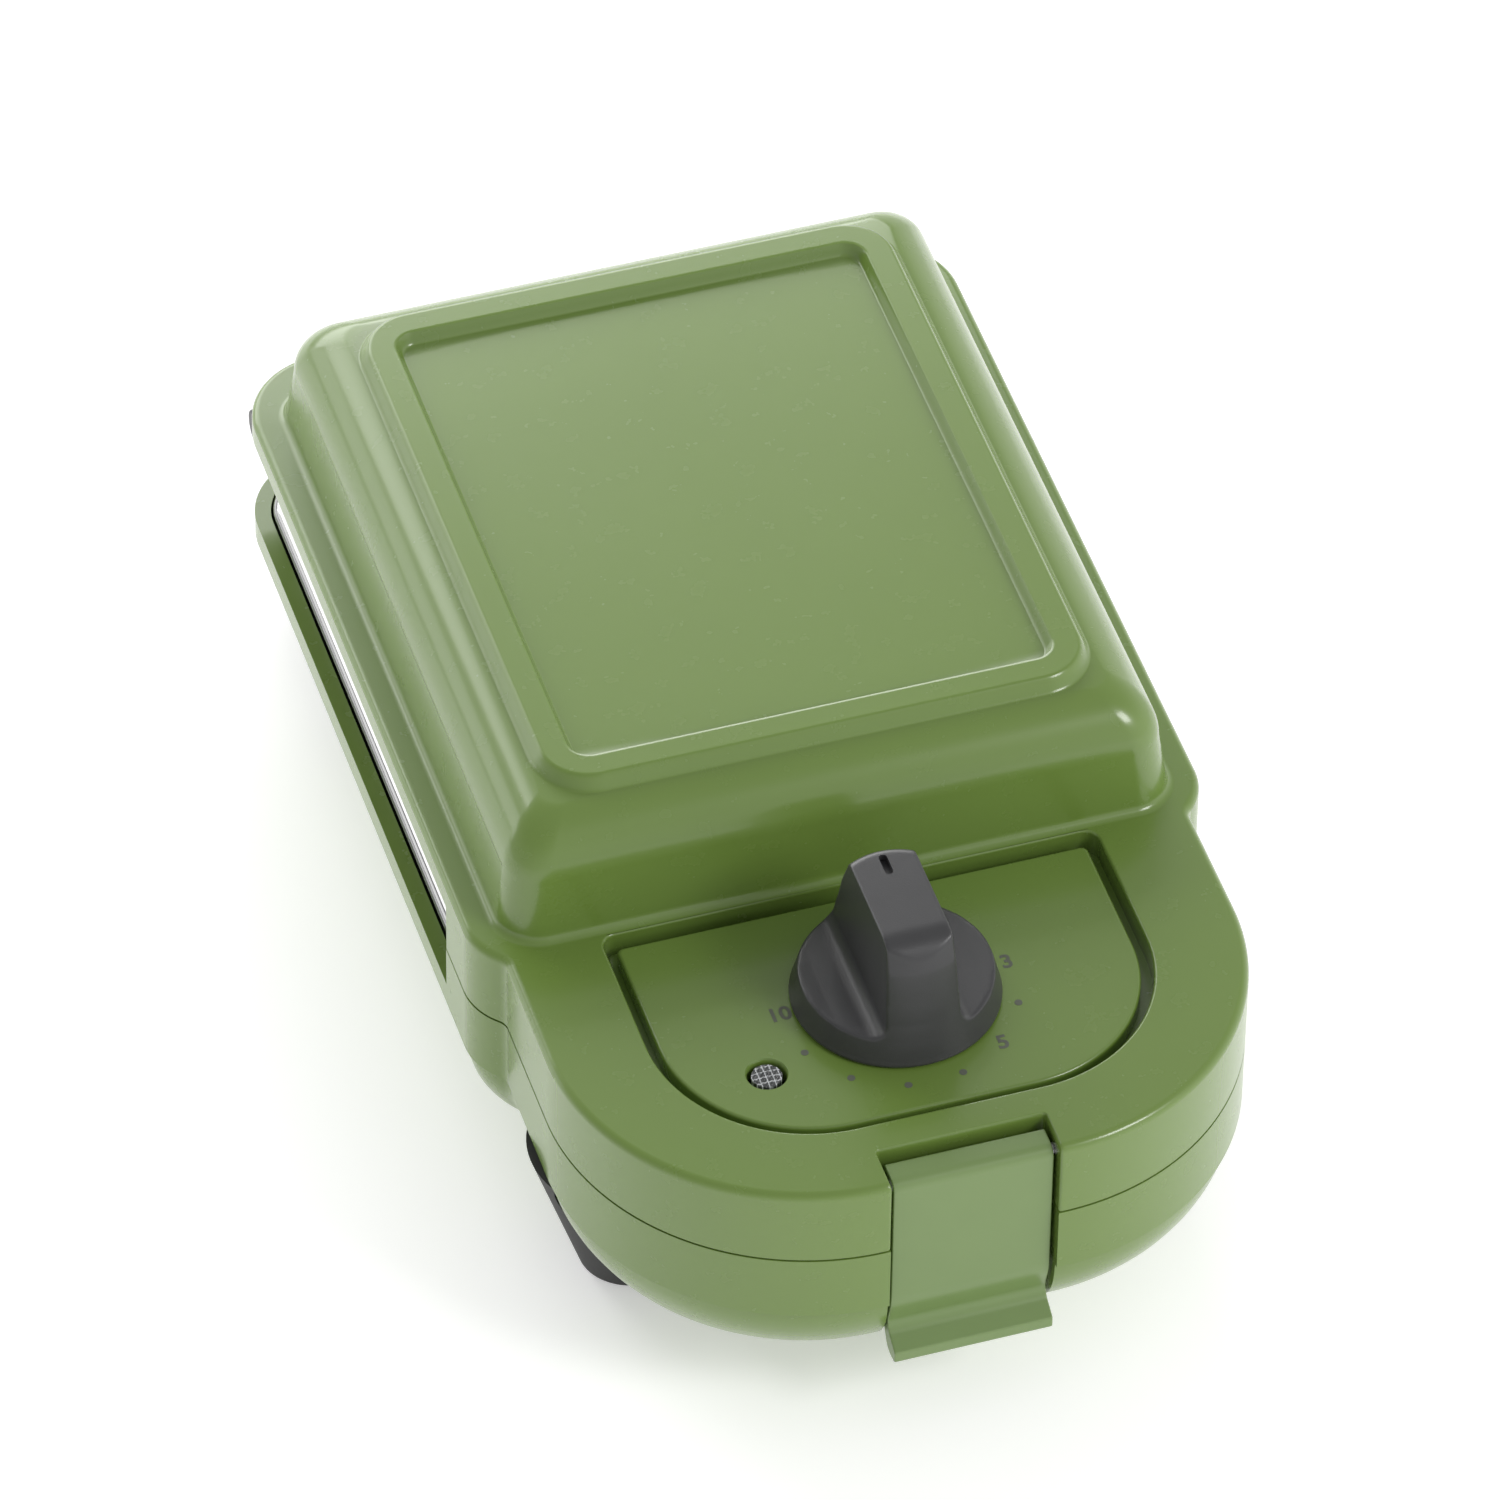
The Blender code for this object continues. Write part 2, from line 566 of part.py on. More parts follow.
def plate_frame(name, side, half_x, y_range, far_z):
    """Black heat-resistant frame that carries a plate on a ledge, with a thick bar at each end."""
    face = PLATE_Z + side * GAP
    outline = rounded_outline(half_x, y_range, 0.0120)
    ring = prism(name, outline, min(face, far_z), max(face, far_z), "black_plastic")
    bevel(ring, 0.0010, 2, 60)
    seat = (PLATE_Y[0] - 0.0004, PLATE_Y[1] + 0.0004)
    seat_z = PLATE_Z + side * (PLATE_THICK + 0.0006)
    opening = rounded_outline(PLATE_X + 0.0004, seat, 0.0094)
    cut(ring, prism(f"{name}_seat", opening, *sorted((PLATE_Z - side * 0.005, seat_z))))
    ledge = rounded_outline(PLATE_X - 0.0018, (seat[0] + 0.0022, seat[1] - 0.0022), 0.0072)
    cut(ring, prism(f"{name}_window", ledge, *sorted((PLATE_Z, far_z + side * 0.005))))
    pocket = sorted((PLATE_Z - side * 0.002, PLATE_Z + side * 0.0037))
    cut(ring, box(f"{name}_clip_pocket", (-0.0065, 0.0065), (-0.0227, -0.0161), pocket))
    cut(ring, box(f"{name}_clip_slot", (-0.0043, 0.0043), (-0.0170, -0.0120), pocket))
    return ring


def plate_clip(name, side):
    """Sliding clip: a thumb pad in the frame's end bar, and a tongue in the plate's edge."""
    pad = sorted((PLATE_Z + side * 0.0006, PLATE_Z + side * 0.0034))
    clip = box(name, (-0.0060, 0.0060), (-0.0194, -0.0164), pad, "steel")
    tongue = sorted((PLATE_Z + side * 0.0014, PLATE_Z + side * 0.0029))
    add(clip, box(f"{name}_tongue", (-0.0040, 0.0040), (-0.0170, -0.0122), tongue))


def tray(name, half_x, y_range, base_z, rim_z, wall, radius):
    """Thin pressed tray, open towards rim_z."""
    outline = rounded_outline(half_x, y_range, radius)
    pan = prism(name, outline, min(base_z, rim_z), max(base_z, rim_z), "aluminium")
    inner = rounded_outline(half_x - wall, (y_range[0] + wall, y_range[1] - wall), radius - wall)
    way = 1 if rim_z > base_z else -1
    cut(pan, prism(f"{name}_inside", inner, *sorted((base_z + way * wall, rim_z + way * 0.01))))
    return pan


def heater_hole(piece, name, x, z):
    """Hole for a leg of the element in the front wall of a pan or a frame."""
    cut(piece, rod(name, (x, -0.030, z), (x, 0.000, z), HEATER_R + 0.0004, sides=12))


def heater_path(z, half_x, y_range, radius, lead_y):
    """Loop of sheathed element, open at the front, whose two legs run forward to lead_y."""
    leg_x, bend = HEATER_LEG_X, 0.0060
    right = [(leg_x, lead_y), (leg_x, y_range[0] - bend)]
    right += [(leg_x + bend - x, y) for x, y in arc(0, y_range[0] - bend, bend, 0, 90, 3)][1:]
    right += arc(half_x - radius, y_range[0] + radius, radius, -90, 0, 4)
    right += arc(half_x - radius, y_range[1] - radius, radius, 0, 90, 4)
    return [(x, y, z) for x, y in right] + [(-x, y, z) for x, y in reversed(right)]


def upper_heating():
    far_z = DECK_Z - LID_WALL - GAP
    ring = plate_frame("upper_frame", 1, FRAME_X - 0.0019, (-0.0240, 0.1088), far_z)
    pan = tray("upper_reflector", 0.0610, (-0.0100, 0.1030), 0.0710, 0.0500, 0.0010, 0.0080)
    heater_z = 0.0590
    for side, x in (("left", -HEATER_LEG_X), ("right", HEATER_LEG_X)):
        heater_hole(pan, f"pan_heater_hole_{side}", x, heater_z)
        heater_hole(ring, f"frame_heater_hole_{side}", x, heater_z)
        lead = [(x, -0.0383, heater_z), (x, -0.0420, heater_z - 0.0010), (0.86 * x, -0.0465, 0.0548)]
        lead += [(0.74 * x, -0.0500, 0.0535), (0.70 * x, KNOB_Y + 0.0213, 0.0535)]
        tube(f"upper_lead_{side}", lead, 0.0012, "wire_sleeve")
    tube("upper_heater", heater_path(heater_z, 0.0440, (0.0080, 0.0860), 0.0160, -0.0380), HEATER_R, "steel")
    middle = (0, PLATE_MID_Y, 0)
    can = [(0, 0.0560), (0.0055, 0.0560), (0.0055, 0.0520), (0.0080, 0.0520), (0.0080, 0.0465), (0, 0.0465)]
    turned("upper_thermostat", can, middle, "steel", 16)
    rod("thermal_fuse", (-0.0060, 0.0900, 0.0660), (0.0060, 0.0900, 0.0660), 0.0020, "steel", 12)


def lid_hinge(side, name):
    """Steel knuckle with an arm that is fixed under the lid's flange."""
    y, z = HINGE
    x = sorted((side * 0.0386, side * 0.0514))
    knuckle = rod(name, (x[0], y, z), (x[1], y, z), BARREL_R - 0.0002, "steel")
    add(knuckle, box(f"{name}_arm", x, (y - 0.0020, y + 0.0018), (z, DECK_Z - LID_WALL - GAP)))
    add(knuckle, box(f"{name}_tab", x, (y - 0.0040, y + 0.0030), (0.0610, DECK_Z - LID_WALL - GAP)))
    cut(knuckle, rod(f"{name}_bore", (x[0] - 0.01, y, z), (x[1] + 0.01, y, z), PIN_R + GAP, sides=12))
    pin_name = name.replace("lid_hinge", "hinge_pin")
    rod(pin_name, (side * 0.0306, y, z), (side * 0.0640, y, z), PIN_R, "steel", 12)


# ---------------------------------------------------------------- base
def belly_rings(inset, top_z):
    """Rings of the casing from its flat floor, up the rounded belly, to top_z."""
    radius = BELLY_R - inset
    rings = []
    for step in range(6):
        angle = math.radians(90 - 18 * step)
        ring = casing_outline(BELLY_STEP + BELLY_R - radius * math.cos(angle))
        rings.append((ring, BAND_Z - radius * math.sin(angle)))
    band_z = BAND_Z + 0.0003
    rings += [(casing_outline(inset + BELLY_STEP), band_z - 0.0001), (casing_outline(inset), band_z)]
    return rings + [(casing_outline(inset), top_z)]


BASE_SCREWS = [(x, y) for y, x_half in ((-0.0500, 0.0440), (-0.0900, 0.0340)) for x in (-x_half, x_half)]
CORD_X, CORD_Z = 0.0420, 0.0240


def base_casing():
    casing = loft("base_casing", belly_rings(0, PARTING_Z), "green_paint")
    cut(casing, box("beside_plates", (-0.09, 0.09), (STEP_Y, 0.14), (RIM_Z, 0.06)))
    hollow = loft("casing_hollow", belly_rings(CASE_WALL, 0.0600))
    cut(casing, hollow)
    notch_wall = NOTCH_X + 0.0023
    wall = box("base_notch_wall", (-notch_wall, notch_wall), (-0.1220, NOTCH_Y + 0.0022), (0.0140, PARTING_Z))
    boolean(wall, loft("belly_inside", belly_rings(0.0010, PARTING_Z)), "INTERSECT")
    add(casing, wall)
    cut(casing, box("base_notch", (-NOTCH_X, NOTCH_X), (-0.1400, NOTCH_Y), (0.0050, 0.0600)))
    add(casing, box("latch_catch", (-0.0140, 0.0140), (-0.1178, NOTCH_Y + 0.0010), (0.0339, 0.0370)))
    for i, (x, y) in enumerate(BASE_SCREWS):
        cut(casing, rod(f"base_screw_hole_{i}", (x, y, 0.005), (x, y, 0.020), 0.0017, sides=12))
        cut(casing, rod(f"base_counterbore_{i}", (x, y, 0.005), (x, y, 0.0150), 0.0033, sides=12))
    for x in (-STUD_X, STUD_X):
        for y in FOOT_Y:
            cut(casing, rod(f"foot_hole_{x}_{y}", (x, y, 0.005), (x, y, 0.030), 0.0028, sides=12))
    for i in range(5):
        y = 0.0100 + 0.0140 * i
        cut(casing, box(f"vent_{i}", (-0.0220, 0.0220), (y, y + 0.0030), (0.0050, 0.0200)))
    cut(casing, rod("cord_hole", (CORD_X, 0.100, CORD_Z), (CORD_X, 0.140, CORD_Z), 0.0045))


def feet():
    """Tapered black legs whose tops follow the casing's belly."""
    belly = loft("belly_for_feet", belly_rings(-GAP, PARTING_Z))
    top_z = BAND_Z - 0.0010
    names = (("front", FOOT_Y[0]), ("rear", FOOT_Y[1]))
    for row, y in names:
        for side, x in (("left", -FOOT_X), ("right", FOOT_X)):
            slope = (FOOT_R[1] - FOOT_R[0]) / 0.0200
            chamfer = 0.0008
            profile = [(0, top_z), (FOOT_R[0] + slope * top_z, top_z), (FOOT_R[0], chamfer)]
            profile += [(FOOT_R[0] - chamfer, 0), (0, 0)]
            foot = turned(f"foot_{row}_{side}", profile, (x, y, 0), "rubber", 24)
            cut(foot, belly)
            stud_x = math.copysign(STUD_X, x)
            add(foot, rod(f"stud_{row}_{side}", (stud_x, y, 0.0080), (stud_x, y, 0.0169), 0.0025, sides=12))


def hinge_housing():
    """Black block that hugs the rear of the casing, with the barrels on top and the cord's gland in it."""
    y, z = HINGE
    side_view = [(0.1030, 0.0120), (HOUSING_Y, 0.0040), (HOUSING_Y, 0.0424), (0.1176, 0.0424)]
    side_view += [(0.1176, 0.0360), (0.1030, 0.0360)]
    housing = prism("hinge_housing", side_view, -0.0620, 0.0620, "black_plastic", X_AXIS)
    bevel(housing, 0.0015, 2)
    cut(housing, loft("belly_for_housing", belly_rings(-GAP, RIM_Z + GAP)))
    web = [(0.1121, 0.0413), (0.1182, 0.0413), (0.1182, 0.0400), (0.1235, 0.0400), (0.1235, 0.0418)]
    web += [(0.1168, 0.0430), (0.1168, z), (0.1132, z)]
    spans = ((0.0520, 0.0703, 0.0620), (0.0300, 0.0380, 0.0380))  # barrel's start and end, web's end
    for side in (-1, 1):
        for i, (near, far, web_far) in enumerate(spans):
            web_x = sorted((side * near, side * web_far))
            add(housing, prism(f"hinge_web_{side}_{i}", web, *web_x, frame=X_AXIS))
            add(housing, rod(f"hinge_barrel_{side}_{i}", (side * near, y, z), (side * far, y, z), BARREL_R))
        inner, outer = (side * 0.0280, y, z), (side * 0.0650, y, z)
        cut(housing, rod(f"hinge_bore_{side}", inner, outer, PIN_R + GAP, sides=12))
    cut(housing, rod("housing_cord_hole", (CORD_X, 0.100, CORD_Z), (CORD_X, 0.140, CORD_Z), 0.0045))
    cut(housing, rod("gland_seat", (CORD_X, 0.1240, CORD_Z), (CORD_X, 0.140, CORD_Z), 0.0064))
    bush = rod("cord_gland", (CORD_X, 0.1150, CORD_Z), (CORD_X, 0.1250, CORD_Z), 0.0042, "rubber")
    add(bush, rod("gland_flange", (CORD_X, 0.1243, CORD_Z), (CORD_X, 0.1258, CORD_Z), 0.0060))
    cut(bush, rod("gland_bore", (CORD_X, 0.100, CORD_Z), (CORD_X, 0.140, CORD_Z), 0.0033))


def base_handle_liner():
    """Tray that closes the wiring space under the lid's timer, and the wall in front of the plates."""
    liner = prism("base_handle_liner", casing_outline(CASE_WALL + 0.0018), 0.0295, 0.0315, "black_plastic")
    clip_handle_part(liner, "base_handle_liner")
    add(liner, box("divider", (-0.0640, 0.0640), (STEP_Y - 0.0060, STEP_Y - 0.0032), (0.0295, 0.0472)))
    for i, (x, y) in enumerate(BASE_SCREWS):
        add(liner, rod(f"liner_post_{i}", (x, y, 0.0170), (x, y, 0.0305), 0.0036, sides=12))
        cut(liner, rod(f"liner_post_bore_{i}", (x, y, 0.0100), (x, y, 0.0260), 0.0017, sides=12))
        screw(f"base_screw_{i + 1}", (x, y), 0.0030, (0.0136, 0.0147), 0.0250)


def lower_heating():
    plate_frame("lower_frame", -1, FRAME_X, (-0.0240, 0.1170), BAND_Z + 0.0006)
    tray("lower_reflector", 0.0540, (-0.0080, 0.1000), 0.0173, 0.0270, 0.0010, 0.0080)
    heater_z = 0.0238
    pan = bpy.data.objects["lower_reflector"]
    for side, x in (("left", -HEATER_LEG_X), ("right", HEATER_LEG_X)):
        heater_hole(pan, f"tray_heater_hole_{side}", x, heater_z)
    tube("lower_heater", heater_path(heater_z, 0.0440, (0.0100, 0.0860), 0.0160, -0.0380), HEATER_R, "steel")
    can = [(0, 0.0361), (0.0080, 0.0361), (0.0080, 0.0310), (0.0055, 0.0310), (0.0055, 0.0270), (0, 0.0270)]
    turned("lower_thermostat", can, (0, PLATE_MID_Y, 0), "steel", 16)
    block = box("terminal_block", (-0.0130, 0.0130), (-0.0620, -0.0480), (0.0171, 0.0270), "phenolic")
    bevel(block, 0.0010, 1)
    lead = [(CORD_X, 0.1145, CORD_Z), (CORD_X + 0.0020, 0.1080, 0.0235), (CORD_X + 0.0100, 0.1030, 0.0232)]
    lead += [(0.0590, 0.0960, 0.0232), (0.0600, 0.0860, 0.0232), (0.0600, -0.0180, 0.0232)]
    lead += [(0.0580, -0.0300, 0.0232), (0.0480, -0.0400, 0.0225), (0.0300, -0.0460, 0.0222)]
    lead += [(0.0220, -0.0510, 0.0220), (0.0180, -0.0540, 0.0220), (0.0134, -0.0540, 0.0220)]
    tube("supply_lead", lead, 0.0024, "wire_sleeve")


# ---------------------------------------------------------------- joint axes
def joint_empty(name, place, children):
    """Empty on a joint's axis; the moving pieces hang from it without changing place."""
    pivot = bpy.data.objects.new(name, None)
    pivot.empty_display_size = 0.02
    pivot.location = place
    PARTS.objects.link(pivot)
    for child in children:
        piece = bpy.data.objects[child]
        piece.parent = pivot
        piece.matrix_parent_inverse = Matrix.Translation(place).inverted()
    return pivot


LID_PIECES = ["lid_cover", "control_panel", "pilot_lamp_lens", "pilot_lamp_bulb", "pilot_lamp_holder"]
LID_PIECES += ["timer_body", "timer_screw_left", "timer_screw_right", "lid_handle_cover", "latch_pin"]
LID_PIECES += ["lid_screw_1", "lid_screw_2", "lid_screw_3", "lid_screw_4", "upper_frame", "upper_plate"]
LID_PIECES += ["upper_reflector", "upper_heater", "upper_thermostat", "thermal_fuse"]
LID_PIECES += ["upper_lead_left", "upper_lead_right", "lid_hinge_left", "lid_hinge_right"]


def main():
    lid_cover()
    control_panel()
    pilot_lamp()
    timer()
    timer_knob()
    lid_handle_cover()
    latch()
    donut_plate("upper_plate", 1)
    donut_plate("lower_plate", -1)
    plate_clip("upper_plate_clip", 1)
    plate_clip("lower_plate_clip", -1)
    upper_heating()
    lid_hinge(-1, "lid_hinge_left")
    lid_hinge(1, "lid_hinge_right")
    base_casing()
    feet()
    hinge_housing()
    base_handle_liner()
    lower_heating()
    lid = joint_empty("lid_axis", (0, *HINGE), LID_PIECES)
    pivots = [
        joint_empty("latch_axis", (0, *LATCH_PIN), ["latch", "latch_spring"]),
        joint_empty("knob_axis", (0, KNOB_Y, PANEL_Z), ["timer_knob", "timer_shaft"]),
        joint_empty("upper_clip_slide", (0, -0.0179, PLATE_Z), ["upper_plate_clip"]),
    ]
    for pivot in pivots:
        pivot.parent = lid
        pivot.matrix_parent_inverse = Matrix.Translation(lid.location).inverted()
    joint_empty("lower_clip_slide", (0, -0.0179, PLATE_Z), ["lower_plate_clip"])


main()
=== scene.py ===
"""Looks of the compact donut maker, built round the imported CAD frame.

The CAD gives the sizes, the places and the joints. This script puts a smooth mesh of the same
shape over each shell, plate, knob and foot, and gives every piece its material. Metres, +Z up.
"""

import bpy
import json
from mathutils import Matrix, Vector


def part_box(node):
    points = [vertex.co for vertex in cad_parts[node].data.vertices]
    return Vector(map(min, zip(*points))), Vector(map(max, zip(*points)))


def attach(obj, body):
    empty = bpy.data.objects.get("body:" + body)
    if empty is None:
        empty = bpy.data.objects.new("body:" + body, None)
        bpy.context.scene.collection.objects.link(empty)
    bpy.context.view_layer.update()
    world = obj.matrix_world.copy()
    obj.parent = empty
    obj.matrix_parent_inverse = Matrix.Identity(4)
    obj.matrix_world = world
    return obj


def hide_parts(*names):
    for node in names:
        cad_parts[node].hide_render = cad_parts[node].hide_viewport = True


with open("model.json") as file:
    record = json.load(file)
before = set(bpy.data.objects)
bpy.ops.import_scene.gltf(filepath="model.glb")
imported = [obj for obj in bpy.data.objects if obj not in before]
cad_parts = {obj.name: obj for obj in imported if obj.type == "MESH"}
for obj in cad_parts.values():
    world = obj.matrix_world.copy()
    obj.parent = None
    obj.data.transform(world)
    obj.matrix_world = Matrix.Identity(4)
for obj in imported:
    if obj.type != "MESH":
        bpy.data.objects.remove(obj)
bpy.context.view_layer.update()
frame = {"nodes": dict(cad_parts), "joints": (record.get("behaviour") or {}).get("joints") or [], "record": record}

import json
import math

import bmesh
import bpy
from mathutils import Matrix, Vector

# ---------------------------------------------------------------- sizes taken from the frame
LID_LOW, LID_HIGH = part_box("lid_cover")
BASE_LOW, BASE_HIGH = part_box("base_casing")
PANEL_LOW, PANEL_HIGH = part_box("control_panel")
KNOB_LOW, KNOB_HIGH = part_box("timer_knob")
LATCH_LOW, LATCH_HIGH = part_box("latch")
LOWER_FRAME_LOW, LOWER_FRAME_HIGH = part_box("lower_frame")
UPPER_FRAME_LOW, UPPER_FRAME_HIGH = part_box("upper_frame")
LOWER_PLATE_LOW, LOWER_PLATE_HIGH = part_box("lower_plate")
UPPER_PLATE_LOW, UPPER_PLATE_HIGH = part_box("upper_plate")
HOUSING_LOW, HOUSING_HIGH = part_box("hinge_housing")
LENS_LOW, LENS_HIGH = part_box("pilot_lamp_lens")
JOINTS = {joint["name"]: joint for joint in frame["joints"]}

SIDE_X = LID_HIGH[0]
REAR_Y = LID_HIGH[1]
FRONT_Y = LID_LOW[1]
BEAD_Z = LID_HIGH[2]
LID_Z = LID_LOW[2]
PARTING_Z = BASE_HIGH[2]
FLOOR_Z = BASE_LOW[2]
PANEL_Z = PANEL_HIGH[2]
KNOB_X = (KNOB_LOW[0] + KNOB_HIGH[0]) / 2
KNOB_Y = (KNOB_LOW[1] + KNOB_HIGH[1]) / 2
KNOB_Z = KNOB_LOW[2]
LATCH_X = LATCH_HIGH[0]
PLATE_Z = (LOWER_PLATE_HIGH[2] + UPPER_PLATE_LOW[2]) / 2
LAMP = ((LENS_LOW[0] + LENS_HIGH[0]) / 2, (LENS_LOW[1] + LENS_HIGH[1]) / 2)
LAMP_R = (LENS_HIGH[0] - LENS_LOW[0]) / 2
HINGE = JOINTS["lid_hinge"]["pos_m"][1:]
LATCH_PIN = JOINTS["latch_hinge"]["pos_m"][1:]

# ---------------------------------------------------------------- sizes of the shells
GAP = 0.0003
BAND_Z = 0.0329  # lower edge of the casing's band, where the belly starts
RIM_Z = 0.0385  # casing rim beside the plates
FLANGE_Z = 0.0595  # underside of the lid's flange
DECK_Z = PANEL_Z + 0.0015  # top of the flange and the handle
DOME_Z = BEAD_Z - 0.0025
HANDLE_X = 0.0674
REAR_R = 0.0170
SHOULDER_Y = (-0.0500, -0.0380)
SHOULDER_INNER_R = 0.0035
NOSE_R = 0.0500
NOSE_Y = FRONT_Y + NOSE_R
STEP_Y = -0.0262
BELLY_R = BAND_Z - FLOOR_Z
BELLY_STEP = 0.0010
LID_WALL = 0.0026
CASE_WALL = 0.0032
EDGE_R = 0.0016
ACROSS = (-0.09, 0.09)  # wider than the whole part, for tools that cut right through
BEHIND_STEP = (STEP_Y, 0.14)
AHEAD_Y = -0.14

DOME_X = 0.0660
DOME_Y = (-0.0460, 0.1118)
DOME_CORNER_R = 0.0080
DOME_DRAFT = 0.0014
DOME_SHOULDER_R = 0.0125
DOME_FOOT_R = 0.0018
BEAD_INSET = 0.0109
BEAD_WIDTH = 0.0088
BEAD_STEP = 0.0005  # the bead starts this far in from the shoulder, and this far below the top
SHOULDER_END = math.acos(1 - (BEAD_INSET - BEAD_STEP - DOME_DRAFT) / DOME_SHOULDER_R)

RECESS_X = 0.0488
RECESS_Y = (-0.1084, -0.0480)
RECESS_R = (0.0310, 0.0030)
RECESS_FLOOR_Z = PANEL_LOW[2] - GAP
PANEL_INSET = RECESS_X - PANEL_HIGH[0]
LEDGE_INSET = 0.0043
RECESS_EDGE_R = 0.0006
PANEL_EDGE_R = 0.0007

NOTCH_X = 0.0163
NOTCH_Y = -0.1151
NOTCH_R = (0.0006, 0.0006)  # inner and mouth corners
NOTCH_WALL_X = NOTCH_X + 0.0023
LATCH_BORE = ((-0.0240, *LATCH_PIN), (0.0240, *LATCH_PIN), 0.0015)
KNOB_LEAN = 0.07  # the knob's upper part leans forward this much per unit of height
GRIP_FRONT_R = 0.0062
CAVITY_PITCH = (0.0310, 0.0300)
CAVITY_RING_R = 0.0160
CAVITY_TUBE_R = 0.0100
PLATE_WALL = 0.0020
PLATE_CORNER_R = 0.0090
PLATE_CLEARANCE = 0.0004
FRAME_CORNER_R = 0.0120
PLATE_MID_Y = (LOWER_PLATE_LOW[1] + LOWER_PLATE_HIGH[1]) / 2

CORD_HOLE = ((0.0420, 0.100, 0.0240), (0.0420, 0.140, 0.0240), 0.0045)
FOOT_PLACES = {"front": -0.0686, "rear": 0.0880}
FOOT_X = 0.0495
FOOT_BOTTOM_R = 0.0092
FOOT_SLOPE = 0.315  # growth of the foot's radius per unit of height
BASE_SCREWS = [(x, y) for y, x_half in ((-0.0500, 0.0440), (-0.0900, 0.0340)) for x in (-x_half, x_half)]
MINUTE_DEGREES = 27.5
DIAL_R = 0.0225
DIAL_Y = KNOB_Y - 0.0013

SIDE_VIEW = Matrix(((0, 0, 1, 0), (1, 0, 0, 0), (0, 1, 0, 0), (0, 0, 0, 1)))  # local x, y -> Y, Z
FRONT_VIEW = Matrix(((1, 0, 0, 0), (0, 0, 1, 0), (0, 1, 0, 0), (0, 0, 0, 1)))  # local x, y -> X, Z


# ---------------------------------------------------------------- materials
class Nodes:
    """A Principled material under construction, with short ways to add texture nodes."""

    def __init__(self, name):
        self.material = bpy.data.materials.new(name)
        self.material.use_nodes = True
        self.tree = self.material.node_tree
        self.shader = self.tree.nodes["Principled BSDF"]
        self.place = self.tree.nodes.new("ShaderNodeTexCoord").outputs["Object"]

    def link(self, source, target):
        self.tree.links.new(source, target)

    def noise(self, scale, detail=3, roughness=0.55, stretch=None):
        node = self.tree.nodes.new("ShaderNodeTexNoise")
        node.inputs["Scale"].default_value = scale
        node.inputs["Detail"].default_value = detail
        node.inputs["Roughness"].default_value = roughness
        source = self.place
        if stretch:
            mapping = self.tree.nodes.new("ShaderNodeMapping")
            mapping.inputs["Scale"].default_value = stretch
            self.link(source, mapping.inputs["Vector"])
            source = mapping.outputs["Vector"]
        self.link(source, node.inputs["Vector"])
        return node.outputs["Fac"]

    def ramp(self, factor, stops):
        """Colour ramp from (position, colour) stops."""
        node = self.tree.nodes.new("ShaderNodeValToRGB")
        elements = node.color_ramp.elements
        while len(elements) < len(stops):
            elements.new(0.5)
        for element, (position, colour) in zip(elements, stops):
            element.position = position
            element.color = (*colour, 1)
        self.link(factor, node.inputs["Fac"])
        return node.outputs["Color"]

    def spread(self, factor, low, high):
        """Maps the middle of a noise to the range low to high."""
        node = self.tree.nodes.new("ShaderNodeMapRange")
        node.inputs["From Min"].default_value = 0.3
        node.inputs["From Max"].default_value = 0.7
        node.inputs["To Min"].default_value = low
        node.inputs["To Max"].default_value = high
        self.link(factor, node.inputs["Value"])
        return node.outputs["Result"]

    def bump(self, height, distance, strength=1.0, after=None):
        node = self.tree.nodes.new("ShaderNodeBump")
        node.inputs["Distance"].default_value = distance
        node.inputs["Strength"].default_value = strength
        self.link(height, node.inputs["Height"])
        if after:
            self.link(after, node.inputs["Normal"])
        return node.outputs["Normal"]

    def finish(self, **values):
        for name, value in values.items():
            self.shader.inputs[name.replace("_", " ")].default_value = value
        return self.material


def shade(colour, factor):
    return tuple(channel * factor for channel in colour)


def moulded(name, colour, roughness, grain, depth, mottle=0.05, **values):
    """Plastic or paint: faint mottling, uneven gloss and, given a depth, a fine grain of that frequency."""
    nodes = Nodes(name)
    broad = nodes.noise(38, 4)
    tint = nodes.ramp(broad, ((0.30, shade(colour, 1 - mottle)), (0.70, shade(colour, 1 + mottle))))
    nodes.link(tint, nodes.shader.inputs["Base Color"])
    gloss = nodes.spread(nodes.noise(grain * 0.5, 3), roughness - 0.006, roughness + 0.006)
    nodes.link(gloss, nodes.shader.inputs["Roughness"])
    if depth:
        nodes.link(nodes.bump(nodes.noise(grain, 2, 0.6), depth, 0.6), nodes.shader.inputs["Normal"])
    return nodes.finish(**values)


def brushed(name, colour, roughness, along):
    """Metal with fine lines that run along one axis."""
    nodes = Nodes(name)
    stretch = tuple(0.04 if i == along else 1.0 for i in range(3))
    lines = nodes.noise(2600, 3, 0.6, stretch)
    tint = nodes.ramp(lines, ((0.25, shade(colour, 0.86)), (0.75, shade(colour, 1.08))))
    nodes.link(tint, nodes.shader.inputs["Base Color"])
    nodes.link(nodes.spread(lines, roughness - 0.08, roughness + 0.10), nodes.shader.inputs["Roughness"])
    nodes.link(nodes.bump(lines, 0.00001, 0.5), nodes.shader.inputs["Normal"])
    return nodes.finish(Metallic=1.0)


def speckled(name, colour, spot, roughness):
    """Non-stick coating: dark, with tiny paler spots."""
    nodes = Nodes(name)
    spots = nodes.noise(900, 2, 0.5)
    tint = nodes.ramp(spots, ((0.60, colour), (0.70, spot)))
    nodes.link(tint, nodes.shader.inputs["Base Color"])
    gloss = nodes.spread(nodes.noise(60, 3), roughness - 0.05, roughness + 0.07)
    nodes.link(gloss, nodes.shader.inputs["Roughness"])
    nodes.link(nodes.bump(nodes.noise(1500, 2), 0.00002, 0.6), nodes.shader.inputs["Normal"])
    return nodes.finish(Metallic=0.15)


